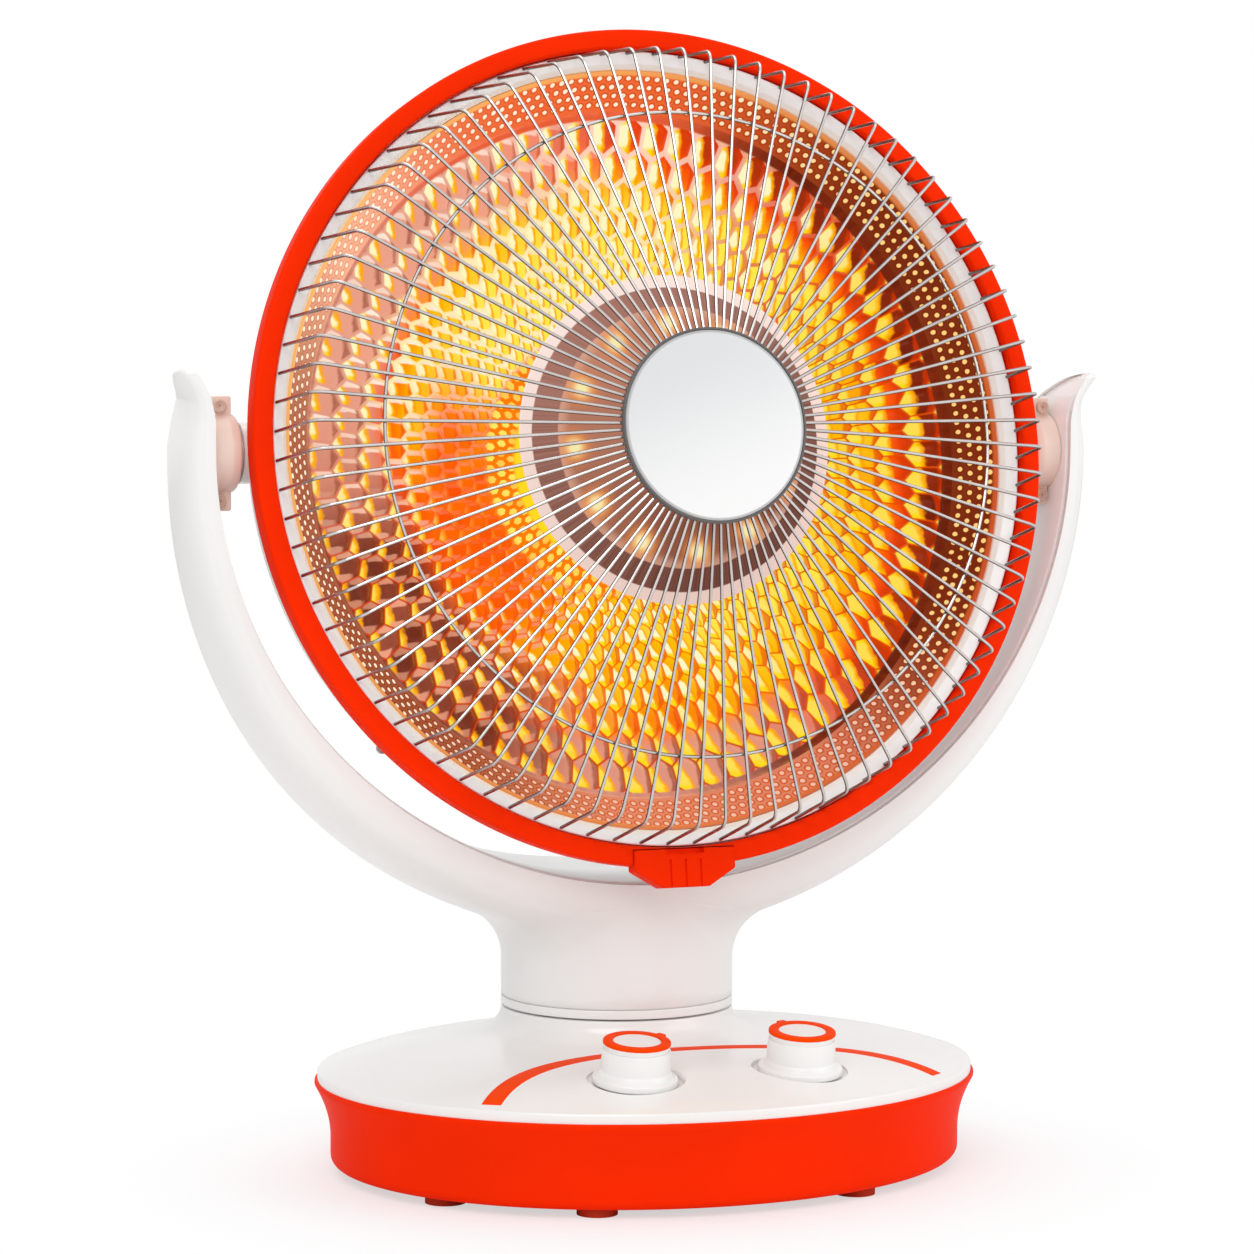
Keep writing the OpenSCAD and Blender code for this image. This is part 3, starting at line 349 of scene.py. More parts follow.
@dataclass(frozen=True)
class Number:
    """A number that changes over a surface, with the operators that act on it."""

    graph: "Graph"
    socket: bpy.types.NodeSocket

    def maths(self, operation: str, *others: "Number | float", clamp: bool = False) -> "Number":
        """Adds a Math node on this number and others."""
        settings = {"operation": operation, "use_clamp": clamp}
        inputs = dict(enumerate((self, *others)))
        return Number(self.graph, self.graph.add("ShaderNodeMath", settings, inputs).outputs[0])

    def __add__(self, other: "Number | float") -> "Number":
        """This plus another."""
        return self.maths("ADD", other)

    def __sub__(self, other: "Number | float") -> "Number":
        """This less another."""
        return self.maths("SUBTRACT", other)

    def __mul__(self, other: "Number | float") -> "Number":
        """This times another."""
        return self.maths("MULTIPLY", other)

    def __truediv__(self, other: "Number | float") -> "Number":
        """This over another."""
        return self.maths("DIVIDE", other)

    def __pow__(self, other: "Number | float") -> "Number":
        """This to the power of another."""
        return self.maths("POWER", other)

    def __radd__(self, other: float) -> "Number":
        """A plain number plus this."""
        return self.maths("ADD", other)

    def __rsub__(self, other: float) -> "Number":
        """A plain number less this."""
        node = self.graph.add("ShaderNodeMath", {"operation": "SUBTRACT"}, {0: other, 1: self})
        return Number(self.graph, node.outputs[0])

    def __abs__(self) -> "Number":
        """This without its sign."""
        return self.maths("ABSOLUTE")

    def clamped(self) -> "Number":
        """This held between 0 and 1."""
        return self.maths("ADD", 0.0, clamp=True)

    def rise(self, low: float, high: float) -> "Number":
        """Goes smoothly from 0 at low to 1 at high."""
        settings = {"interpolation_type": "SMOOTHSTEP"}
        inputs = {"Value": self, "From Min": low, "From Max": high}
        return Number(self.graph, self.graph.add("ShaderNodeMapRange", settings, inputs).outputs[0])

    def bell(self, width: float) -> "Number":
        """One at zero and falling away over width, as exp(-(x / width)^2)."""
        share = self / width
        return (0.0 - share * share).maths("EXPONENT")

    def towards(self, degrees: float, low: float, high: float) -> "Number":
        """A share of this angle that grows as its cosine from degrees goes from low to high."""
        return (self - math.radians(degrees)).maths("COSINE").rise(low, high)

    def light_from(self, degrees: float) -> "Number":
        """From 1 where this angle is degrees to 0 on the far side."""
        return (self - math.radians(degrees)).maths("COSINE") * 0.5 + 0.5


class Graph:
    """The node tree of one material, from coordinates to its shader."""

    def __init__(self, name: str) -> None:
        """Makes an empty material.

        Args:
            name: Name of the material.
        """
        self.material = bpy.data.materials.new(name)
        self.material.use_nodes = True
        self.tree = self.material.node_tree
        self.tree.nodes.clear()
        self.shader = self.add("ShaderNodeBsdfPrincipled")
        output = self.add("ShaderNodeOutputMaterial")
        self.tree.links.new(self.shader.outputs[0], output.inputs["Surface"])

    def add(self, kind: str, settings: dict | None = None, inputs: dict | None = None) -> bpy.types.Node:
        """Adds a node, sets its settings, then its sockets.

        Args:
            kind: The node's type.
            settings: Properties by name; "stops" fills a colour ramp.
            inputs: Values, numbers or sockets by input name or index.

        Returns:
            The new node.
        """
        node = self.tree.nodes.new(kind)
        for key, value in (settings or {}).items():
            if key == "stops":
                ramp = node.color_ramp
                while len(ramp.elements) < len(value):
                    ramp.elements.new(0.5)
                for element, (position, colour) in zip(ramp.elements, value):
                    element.position = position
                    element.color = (*colour, 1.0)
            else:
                setattr(node, key, value)
        for key, value in (inputs or {}).items():
            self.feed(node.inputs[key], value)
        return node

    def feed(self, socket: bpy.types.NodeSocket, value: object) -> None:
        """Links or sets one input.

        Args:
            socket: The input.
            value: A number, colour, vector, Number or output socket.
        """
        if isinstance(value, Number):
            self.tree.links.new(value.socket, socket)
        elif isinstance(value, bpy.types.NodeSocket):
            self.tree.links.new(value, socket)
        elif isinstance(value, tuple) and socket.type == "RGBA":
            socket.default_value = (*value, 1.0)
        else:
            socket.default_value = value

    def place(self) -> bpy.types.NodeSocket:
        """The surface point in the row frame, in metres."""
        return self.add("ShaderNodeTexCoord").outputs["Object"]

    def head_place(self) -> tuple[Number, Number, Number]:
        """The surface point in the head's frame.

        Returns:
            Radius and height along the head's axis in millimetres, and the
            angle round it in radians.
        """
        settings = {"vector_type": "TEXTURE"}
        inputs = {"Vector": self.place(), "Location": (0, PIVOT_Y * MM, PIVOT_Z * MM),
                  "Rotation": (math.radians(90 - HEAD_TILT), 0, 0), "Scale": (MM, MM, MM)}
        local = self.add("ShaderNodeMapping", settings, inputs).outputs[0]
        parts = self.add("ShaderNodeSeparateXYZ", None, {0: local}).outputs
        x, y, z = (Number(self, part) for part in parts)
        radius = (x * x + y * y).maths("SQRT")
        return radius, z, y.maths("ARCTAN2", x)

    def noise(self, scale: float, detail: float = 2.0, vector: object = None) -> Number:
        """Soft noise from 0 to 1.

        Args:
            scale: Waves in a metre.
            detail: Layers of finer noise.
            vector: Where to read it, or None for the surface point.

        Returns:
            The noise.
        """
        inputs = {"Vector": vector or self.place(), "Scale": scale, "Detail": detail}
        return Number(self, self.add("ShaderNodeTexNoise", None, inputs).outputs["Fac"])

    def streaks(self, angle: Number, count: float, scale: float) -> Number:
        """Fine noise that changes only round the head's axis.

        Args:
            angle: Angle round the axis, in radians.
            count: How far the noise is drawn out round the turn.
            scale: Waves of the noise in each step of that.

        Returns:
            The noise, from 0 to 1.
        """
        line = self.add("ShaderNodeCombineXYZ", None, {0: angle * count}).outputs[0]
        return self.noise(scale, 3.0, line)

    def blend(self, share: object, first: object, second: object) -> bpy.types.NodeSocket:
        """Blends two colours.

        Args:
            share: How much of the second, from 0 to 1.
            first: A colour or a colour socket.
            second: A colour or a colour socket.

        Returns:
            The blended colour.
        """
        settings = {"data_type": "RGBA", "blend_type": "MIX", "clamp_factor": True}
        node = self.add("ShaderNodeMix", settings, {0: share, 6: first, 7: second})
        return node.outputs[2]

    def ramp(self, value: Number, stops: Sequence[tuple[float, Colour]]) -> bpy.types.NodeSocket:
        """A colour that goes in straight steps from stop to stop as a number rises.

        Args:
            value: The number.
            stops: Positions and colours.

        Returns:
            The colour.
        """
        return self.add("ShaderNodeValToRGB", {"stops": stops}, {0: value}).outputs[0]

    def bump(self, height: Number, distance: float, strength: float = 1.0) -> None:
        """Roughens the shader's normal by a height in millimetres.

        Args:
            height: Height from 0 to 1.
            distance: What a height of 1 stands for, in millimetres.
            strength: Share of the effect.
        """
        inputs = {"Height": height, "Distance": distance * MM, "Strength": strength}
        node = self.add("ShaderNodeBump", None, inputs)
        self.feed(self.shader.inputs["Normal"], node.outputs[0])

    def set(self, **values: object) -> None:
        """Feeds the shader's inputs, with _ for a space in their names."""
        for key, value in values.items():
            self.feed(self.shader.inputs[key.replace("_", " ")], value)


@dataclass(frozen=True)
class Finish:
    """A moulded, painted or plated surface with slight unevenness."""

    name: str
    colour: Colour
    roughness: float = 0.4
    metallic: float = 0.0
    coat: float = 0.0
    spread: float = 0.04
    grain: float = 900.0
    relief: float = 0.004
    speckle: float = 0.0
    glow: Colour | None = None
    specular: float = 0.5

    def material(self) -> bpy.types.Material:
        """Makes the finish's material.

        Returns:
            Base colour and roughness varied by broad noise, relief by fine noise.
        """
        graph = Graph(self.name)
        graph.set(Specular_IOR_Level=self.specular)
        broad = graph.noise(14.0, 3.0)
        fine = graph.noise(self.grain, 3.0)
        darker = tuple(c * (1 - self.spread) for c in self.colour)
        lighter = tuple(min(1.0, c * (1 + self.spread * 0.5)) for c in self.colour)
        colour = graph.blend(broad.rise(0.3, 0.7), darker, lighter)
        if self.speckle:
            colour = graph.blend(fine.rise(0.52, 0.7) * self.speckle, colour, (0.5, 0.48, 0.45))
        graph.set(Base_Color=colour, Roughness=self.roughness + (fine - 0.5) * 0.10,
                  Metallic=self.metallic, Coat_Weight=self.coat, Coat_Roughness=0.12)
        if self.glow:
            graph.set(Emission_Color=graph.blend(broad.rise(0.3, 0.7), self.glow, (1.0, 0.8, 0.4)),
                      Emission_Strength=1.6)
        graph.bump(fine, self.relief)
        return graph.material


@dataclass(frozen=True)
class CellPattern:
    """A ring of staggered six-sided cells whose size falls with the radius."""

    around: int
    outer_r: float
    stretch: float

    @property
    def per_log(self) -> float:
        """Rows for each factor e of radius, so that the cells keep their form."""
        return self.around / (2 * math.pi * self.stretch)

    def cell(self, radius: np.ndarray, angle: np.ndarray) -> tuple[np.ndarray, np.ndarray, np.ndarray]:
        """Where points lie in their cells.

        Args:
            radius: Distances from the axis.
            angle: Angles in radians.

        Returns:
            Distance across the cell as max(|u|, |u|/2 + 0.866 |v|), then u
            along the ring and v outwards, all in cell widths.
        """
        u = angle * self.around / (2 * math.pi)
        v = self.per_log * np.log(radius / self.outer_r)
        ua, va = u - np.round(u), (v - 2 * np.round(v / 2)) * math.sqrt(0.75)
        ub, vb = u - 0.5 - np.round(u - 0.5), (v - 1 - 2 * np.round((v - 1) / 2)) * math.sqrt(0.75)
        near = ua * ua + va * va < ub * ub + vb * vb
        cu, cv = np.where(near, ua, ub), np.where(near, va, vb)
        return np.maximum(abs(cu), abs(cu) / 2 + math.sqrt(0.75) * abs(cv)), cu, cv

    def nodes(self, radius: Number, angle: Number) -> tuple[Number, Number, Number, Number]:
        """The same as cell, as nodes.

        Args:
            radius: Distance from the axis.
            angle: Angle in radians.

        Returns:
            Distance across the cell, u, v, and a random number for each cell.
        """
        graph = radius.graph
        u = angle * (self.around / (2 * math.pi))
        v = (radius / self.outer_r).maths("LOGARITHM", math.e) * self.per_log
        base_a, row_a = u.maths("ROUND"), (v / 2).maths("ROUND") * 2
        base_b, row_b = (u - 0.5).maths("ROUND") + 0.5, ((v - 1) / 2).maths("ROUND") * 2 + 1
        ua, va = u - base_a, (v - row_a) * math.sqrt(0.75)
        ub, vb = u - base_b, (v - row_b) * math.sqrt(0.75)
        near = (ua * ua + va * va).maths("LESS_THAN", ub * ub + vb * vb)
        cu, cv = ub + (ua - ub) * near, vb + (va - vb) * near
        column = (base_b + (base_a - base_b) * near + self.around).maths("MODULO", self.around)
        row = row_b + (row_a - row_b) * near
        seed = graph.add("ShaderNodeCombineXYZ", None, {0: column, 1: row}).outputs[0]
        chance = Number(graph, graph.add("ShaderNodeTexWhiteNoise", None, {"Vector": seed}).outputs["Value"])
        across = abs(cu).maths("MAXIMUM", abs(cu) / 2 + abs(cv) * math.sqrt(0.75))
        return across, cu, cv, chance


DISH_CELLS = CellPattern(around=74, outer_r=133.0, stretch=1.18)


@dataclass(frozen=True)
class GlowingDish:
    """Polished dish whose reflection of the glowing element in every cell is painted on as emission."""

    name: str = "glowing_dish"
    blur: float = 0.5

    def mirrored_glow_level(self, radius: Number, angle: Number, chance: Number) -> Number:
        """How brightly the painted reflection of the glowing element shows on the faces of the cells.

        Args:
            radius: Distance from the axis, in millimetres.
            angle: Angle round the axis, in radians.
            chance: A random number for each cell.

        Returns:
            From 0 in the brown parts to 1 where it is white hot.
        """
        graph = radius.graph
        # painted reflection: brighter near the middle, low down, and as glare at the top and upper left,
        # darker at the left and the outer right
        right = angle.towards(5, 0.0, 0.9)
        left = angle.towards(190, 0.2, 0.9)
        low = angle.towards(275, 0.2, 0.9)
        near = ((134 - radius) / 54).clamped()
        near_right = ((131 - radius) / 20).clamped()
        glare_top = angle.towards(92, 0.1, 0.8) * radius.rise(132, 100)
        glare_left = angle.towards(138, 0.55, 0.9) * radius.rise(116, 88) * 1.15
        glare = glare_top.maths("MAXIMUM", glare_left)
        mirrored_glow = 0.38 + near * 0.32 + low * 0.14 - left * 0.20 + glare * 0.36
        mirrored_glow = mirrored_glow + right * (near_right * 0.56 - 0.32)
        drift = graph.noise(34.0, 2.0) - 0.5
        return (mirrored_glow + drift * 0.22 + (chance - 0.5) * 0.14).clamped()

    def cells(self, graph: Graph, radius: Number, angle: Number) -> bpy.types.NodeSocket:
        """Colours of the raised cells.

        Args:
            graph: The material's nodes.
            radius: Distance from the axis, in millimetres.
            angle: Angle round the axis, in radians.

        Returns:
            For each cell a face in the painted reflection of the element, a painted highlight on its left
            part, painted shade on its right part, and a pale slash of painted reflection of the room.
        """
        across, u, v, chance = DISH_CELLS.nodes(radius, angle)
        cosine, sine = angle.maths("COSINE"), angle.maths("SINE")
        wave = graph.noise(200.0, 2.0) - 0.5
        right_of = v * cosine - u * sine + wave * 0.24
        above = v * sine + u * cosine + wave * 0.16
        mirrored_glow = self.mirrored_glow_level(radius, angle, chance)
        left, low = angle.towards(178, -0.05, 0.6), angle.towards(264, 0.55, 0.92)
        low_left, up_left = angle.towards(220, 0.78, 0.96), angle.towards(132, 0.3, 0.9)
        top = angle.towards(92, 0.45, 0.9)
        outer = (left * (radius - up_left * 14).rise(88, 104)).maths("MAXIMUM", low * radius.rise(112, 122))
        # the faces take the painted reflection, from brown where it is faint to yellow where it is white hot
        face = graph.ramp(mirrored_glow, [
            (0.0, (0.16, 0.012, 0.002)), (0.2, (0.45, 0.030, 0.0)), (0.36, (0.80, 0.048, 0.0)),
            (0.52, (1.0, 0.115, 0.0)), (0.66, (1.0, 0.27, 0.0)), (0.80, (1.0, 0.50, 0.0)),
            (1.0, (1.0, 0.80, 0.07))])
        # the outer cells show a painted reflection of the room: salmon at the left, low and upper left, brown
        # at the lower left
        mottle = chance * 0.8 + wave * 0.6
        salmon = graph.blend(mottle, (0.40, 0.080, 0.042), (0.66, 0.21, 0.13))
        salmon = graph.blend(low * 0.8, salmon, (0.80, 0.36, 0.26))
        salmon = graph.blend(up_left * 0.85, salmon, (0.90, 0.42, 0.29))
        brown = graph.blend(mottle, (0.13, 0.025, 0.012), (0.34, 0.085, 0.048))
        salmon = graph.blend(low_left, salmon, brown)
        face = graph.blend(outer * 0.94, face, salmon)
        # painted shade: the right part of each cell is deeper, as if lit from the left
        deep = graph.blend(0.66, face, graph.blend(outer, (0.72, 0.040, 0.0), (0.22, 0.020, 0.006)))
        colour = graph.blend((right_of - chance * 0.14).rise(0.12, 0.26), face, deep)
        # the painted highlight on the left part is a thin crescent on the left and nearly half of the cell
        # elsewhere
        lit = right_of + above * (low * 0.5 + 0.12)
        reach = -0.25 + (1 - left) * 0.17 + up_left * 0.07 + (chance - 0.5) * 0.10
        crescent = (reach - lit).rise(-0.05, 0.05)
        gold = graph.blend((reach - lit).rise(0.02, 0.20), (1.0, 0.36, 0.0), (1.0, 0.72, 0.008))
        colour = graph.blend(crescent * 0.96, colour, gold)
        # painted highlight: a white-hot core inside the crescent, whiter at the top, the upper left and low
        # in the middle
        core = (reach - 0.11 - lit).rise(-0.03, 0.05) * above.rise(-0.34, -0.2) * above.rise(0.34, 0.2)
        upper_side = top.maths("MAXIMUM", up_left)
        white = upper_side.maths("MAXIMUM", low * radius.rise(120, 96)) * 0.8 + 0.12
        colour = graph.blend(core * white, colour, (1.0, 0.95, 0.58))
        # painted reflection of the room: a pale slash above each cell at the left and below it at the lower
        # left
        upper = above.rise(0.24, 0.31) * right_of.rise(-0.34, -0.20) * right_of.rise(0.34, 0.20)
        lower = (0 - above).rise(0.24, 0.31) * right_of.rise(-0.38, -0.24) * right_of.rise(0.28, 0.12)
        slash = (upper * left).maths("MAXIMUM", lower * low_left) * (0.6 + chance * 0.5)
        colour = graph.blend(slash * 0.9, colour, graph.blend(up_left, (0.86, 0.36, 0.22), (1.0, 0.86, 0.72)))
        # the seams are dark red at the left and orange elsewhere, with painted highlight that makes them pale
        # towards the top
        seam = graph.blend(outer, (0.95, 0.13, 0.0), (0.62, 0.050, 0.002))
        bright = upper_side * (1 - left * outer * 0.5)
        pale = graph.blend(radius.rise(126, 104), (1.0, 0.72, 0.56), (1.0, 0.92, 0.50))
        seam = graph.blend(bright * 0.9, seam, pale)
        seam = graph.blend(angle.towards(8, 0.2, 0.8) * 0.85, seam, (0.72, 0.060, 0.0))
        groove = (across + bright * 0.05).rise(0.445, 0.49)
        return graph.blend(groove * 0.92, colour, seam)

    def middle(self, graph: Graph, radius: Number, angle: Number, colour: object) -> bpy.types.NodeSocket:
        """The left of the dish's middle, in the painted reflection of the element: a smooth glow, small dots,
        and a plain yellow band.

        Args:
            graph: The material's nodes.
            radius: Distance from the axis, in millimetres.
            angle: Angle round the axis, in radians.
            colour: The colour of the cells.

        Returns:
            The colour with the middle laid over it.
        """
        across, _, _, chance = DISH_CELLS.nodes(radius, angle)
        beside = angle.towards(196, 0.62, 0.92)
        glow = graph.blend(chance, (0.95, 0.075, 0.0), (1.0, 0.15, 0.0))
        colour = graph.blend(beside * radius.rise(96, 74) * 0.85, colour, glow)
        dots = across.rise(0.36, 0.26) * (0.55 + chance * 0.6)
        stippled = graph.blend(dots, (1.0, 0.20, 0.0), (1.0, 0.80, 0.12))
        colour = graph.blend(radius.rise(58, 54), colour, stippled)
        return graph.blend(radius.rise(44, 41.5), colour, (1.0, 0.70, 0.015))

    def plain(self, graph: Graph, angle: Number) -> bpy.types.NodeSocket:
        """The smooth rim outside the cells.

        Args:
            graph: The material's nodes.
            angle: Angle round the axis, in radians.

        Returns:
            Painted reflection: salmon at the left and the bottom, deep red-brown at the right, with fine
                streaks.
        """
        streak = graph.streaks(angle, 6, 6.0) - 0.5
        drift = graph.noise(30.0, 2.0) - 0.5
        mottle = (drift + 0.5 + streak).clamped()
        pale = graph.blend(mottle, (0.46, 0.13, 0.08), (0.80, 0.36, 0.27))
        pale = graph.blend(angle.towards(85, 0.4, 0.9) * 0.85, pale, (0.82, 0.085, 0.012))
        dark = graph.blend(mottle, (0.055, 0.006, 0.002), (0.26, 0.026, 0.006))
        share = angle.towards(0, 0.05, 0.55).maths("MAXIMUM", angle.towards(212, 0.72, 0.96) * 0.75)
        return graph.blend(share, pale, dark)

    def material(self) -> bpy.types.Material:
        """Makes the dish's material.

        Returns:
            The cells, the middle and the plain rim, painted as reflection of the element in the emission, on
            dark polished metal.
        """
        graph = Graph(self.name)
        radius, height, angle = graph.head_place()
        across, _, _, chance = DISH_CELLS.nodes(radius, angle)
        # the front lies on or above the dish's own line, and the back a sheet's thickness below
        line = radius * radius * (DISH_DEPTH / DISH_R ** 2) + (DISH_FRONT - DISH_DEPTH)
        front = (height - line).rise(-0.6, -0.3)
        colour = self.middle(graph, radius, angle, self.cells(graph, radius, angle))
        outside = radius.rise(DISH_PLAIN_R - self.blur, DISH_PLAIN_R + self.blur)
        colour = graph.blend(outside, colour, self.plain(graph, angle))
        colour = graph.blend(front, (0.02, 0.012, 0.010), colour)
        # the dish's colours are painted reflection, given as emission over the dark metal
        graph.set(Base_Color=(0.016, 0.005, 0.003), Metallic=0.95, Roughness=0.24 + chance * 0.08,
                  Emission_Color=colour, Emission_Strength=1.0)
        graph.bump(0.5 - across.rise(0.24, 0.5) * 0.5, 1.2, 0.7)
        return graph.material


@dataclass(frozen=True)
class StippledBand:
    """Rim of the reflector, with four rows of small raised dots."""

    name: str = "stippled_band"
    around: int = 228
    first_r: float = 143.6
    middle_r: float = 145.0
    pitch: float = 2.85
    rows: int = 4
    steep: float = 1.58

    def material(self) -> bpy.types.Material:
        """Makes the band's material.

        Returns:
            Dots in staggered rows: a pale middle of painted highlight, a dark ring of painted shade, and
                metal between whose colour round the band is painted reflection of the glow.
        """
        graph = Graph(self.name)
        radius, _, angle = graph.head_place()
        row = (radius - self.first_r) / self.pitch
        line = row.maths("ROUND")
        inside = (abs(row - (self.rows - 1) / 2)).maths("LESS_THAN", self.rows / 2)
        shift = (line / 2).maths("FRACT")
        u = angle * (self.around / (2 * math.pi)) + shift
        away_u = (u - u.maths("ROUND")) * (2 * math.pi * self.middle_r / self.around)
        away_v = (row - line) * self.pitch * self.steep
        wave = graph.noise(420.0, 1.0) - 0.5
        away = (away_u * away_u + away_v * away_v * 0.8).maths("SQRT") + wave * 0.7
        dot = (1 - away.rise(0.80, 1.10)) * inside
        ring = away.rise(0.85, 1.15) * (1 - away.rise(1.55, 1.9)) * inside
        faint = angle.towards(152, 0.5, 0.95)
        up_left = angle.light_from(150)
        low_left = angle.towards(205, 0.5, 0.95)
        right = angle.towards(10, 0.2, 0.9)
        drift = graph.noise(26.0, 2.0) - 0.5
        top = angle.towards(82, 0.45, 0.9)
        low = angle.towards(275, 0.5, 0.9)
        # painted reflection: the metal is pale at the upper left, orange at the top, salmon low down, and
        # dark at the lower left and the right
        base = graph.blend((up_left + drift * 0.7).clamped(), (0.58, 0.070, 0.014), (0.94, 0.46, 0.30))
        base = graph.blend(low * 0.85, base, (0.72, 0.24, 0.14))
        base = graph.blend(top * 0.9, base, (0.86, 0.11, 0.014))
        base = graph.blend(low_left * 0.85, base, (0.22, 0.020, 0.005))
        dark = graph.blend(drift + 0.5, (0.060, 0.008, 0.002), (0.24, 0.028, 0.004))
        base = graph.blend(right * 0.94, base, dark)
        edge = radius.rise(152.6, 153.4)
        # painted shade round each raised dot, fainter at the upper left
        ringed = graph.blend(right.maths("MAXIMUM", low_left), (0.66, 0.080, 0.004), (0.20, 0.014, 0.0))
        colour = graph.blend(ring * (0.85 - faint * 0.5), base, ringed)
        # painted highlight in the middle of each dot
        middle = graph.blend(right, (1.0, 0.86, 0.66), (1.0, 0.66, 0.22))
        middle = graph.blend(low, middle, (0.86, 0.52, 0.40))
        colour = graph.blend(dot, colour, middle)
        # painted highlight on the rolled edge, brightest at the upper left
        rolled = graph.blend(up_left, (0.62, 0.090, 0.020), (1.0, 0.50, 0.14))
        colour = graph.blend(edge * 0.85, colour, rolled)
        graph.set(Base_Color=(0.022, 0.007, 0.004), Metallic=0.95, Roughness=0.3,
                  Emission_Color=colour, Emission_Strength=1.0)
        graph.bump(1 - away.rise(0.5, 1.4) * inside, 0.5, 0.8)
        return graph.material


@dataclass(frozen=True)
class ShadePaintedGlow:
    """Brown metal shade whose look, with the glow of its holes, is painted on as emission."""

    name: str = "shade_painted_glow"
    spots: int = 12
    spot_r: float = 46.0
    spot_turn: float = 5.0
    face_r: float = 52.5
    flange_r: float = 61.3

    def material(self) -> bpy.types.Material:
        """Makes the shade's material.

        Returns:
            A pinkish flange, a dark cone and a face, with painted light that lightens them towards the upper
            left and the glow of each hole painted as a soft spot.
        """
        graph = Graph(self.name)
        radius, _, angle = graph.head_place()
        turn = (angle - math.radians(self.spot_turn)) * (self.spots / (2 * math.pi))
        away_u = (turn - turn.maths("ROUND")) * (2 * math.pi * self.spot_r / self.spots)
        away_v = radius - self.spot_r
        away = (away_u * away_u + away_v * away_v).maths("SQRT")
        spot = (away.bell(5.4) * 1.2).clamped()
        core = (away.bell(3.2) * 1.3).clamped()
        light = angle.light_from(120)
        drift = graph.noise(40.0, 2.0)
        # painted light: the face lightens towards the upper left
        face = graph.blend((light * 0.7 + drift * 0.3).clamped(), (0.16, 0.040, 0.022), (0.60, 0.26, 0.17))
        face = graph.blend(radius.rise(47, 52) * 0.6, face, (0.80, 0.46, 0.33))
        # painted glow at the place of each hole
        face = graph.blend(spot, face, (1.0, 0.27, 0.02))
        face = graph.blend(core, face, (1.0, 0.90, 0.45))
        streak = graph.streaks(angle, 9, 5.0)
        # the cone's streaks are brushed metal; its lightening towards the upper left is painted light
        brushed_and_lit = (light * 0.4 + streak * 0.6).rise(0.2, 0.8)
        cone = graph.blend(brushed_and_lit, (0.12, 0.034, 0.022), (0.40, 0.185, 0.140))
        # painted light: the flange is lighter towards the upper left
        flange = graph.blend(light * 0.6, (0.70, 0.50, 0.44), (1.0, 0.88, 0.83))
        colour = graph.blend(radius.rise(self.face_r - 0.3, self.face_r + 0.3), face, cone)
        on_flange = radius.rise(self.flange_r - 0.3, self.flange_r + 0.3)
        colour = graph.blend(on_flange, colour, flange)
        graph.set(Base_Color=graph.blend(on_flange, (0.03, 0.012, 0.009), (0.22, 0.16, 0.14)),
                  Metallic=0.85, Roughness=0.32 + drift * 0.1,
                  Emission_Color=colour, Emission_Strength=0.9)
        graph.bump(drift, 0.05)
        return graph.material


@dataclass(frozen=True)
class PlatedWire:
    """Bright plated wire, with a painted highlight along its front-facing crest and painted shade on its
    flanks.
    """

    name: str = "chrome_wire"

    def material(self) -> bpy.types.Material:
        """Makes the wire's material.

        Returns:
            Metal whose colour goes from dark to pale with the tone round the wire.
        """
        graph = Graph(self.name)
        tone = Number(graph, graph.add("ShaderNodeAttribute", {"attribute_name": "tone"}).outputs["Fac"])
        drift = graph.noise(60.0, 2.0)
        highlight = (tone + (drift - 0.5) * 0.3).rise(0.36, 1.0)
        # painted shade on the flanks and a painted highlight along the crest
        colour = graph.blend(highlight, (0.070, 0.055, 0.050), (0.66, 0.61, 0.59))
        graph.set(Base_Color=colour, Metallic=0.9, Roughness=0.26 + (drift - 0.5) * 0.1)
        return graph.material


@dataclass(frozen=True)
class SatinCap:
    """Satin enamel of the cap, with painted shade that darkens it towards its upper side."""

    name: str = "satin_cap"
    edge_r: float = 36.5

    def material(self) -> bpy.types.Material:
        """Makes the cap's material.

        Returns:
            Pale grey that lightens downwards as painted light, with a darker line at its edge.
        """
        graph = Graph(self.name)
        radius, _, angle = graph.head_place()
        # painted light: lighter downwards across the cap, darker towards its upper side
        down = (radius * (angle - math.radians(-70)).maths("COSINE")).rise(-38, 38)
        colour = graph.blend(down, (0.66, 0.67, 0.68), (0.86, 0.86, 0.86))
        at_edge = radius.rise(self.edge_r - 0.4, self.edge_r + 0.2)
        colour = graph.blend(at_edge * 0.8, colour, (0.42, 0.41, 0.41))
        fine = graph.noise(700.0, 3.0)
        graph.set(Base_Color=colour, Roughness=0.45 + (fine - 0.5) * 0.08, Specular_IOR_Level=0.35)
        graph.bump(fine, 0.003)
        return graph.material


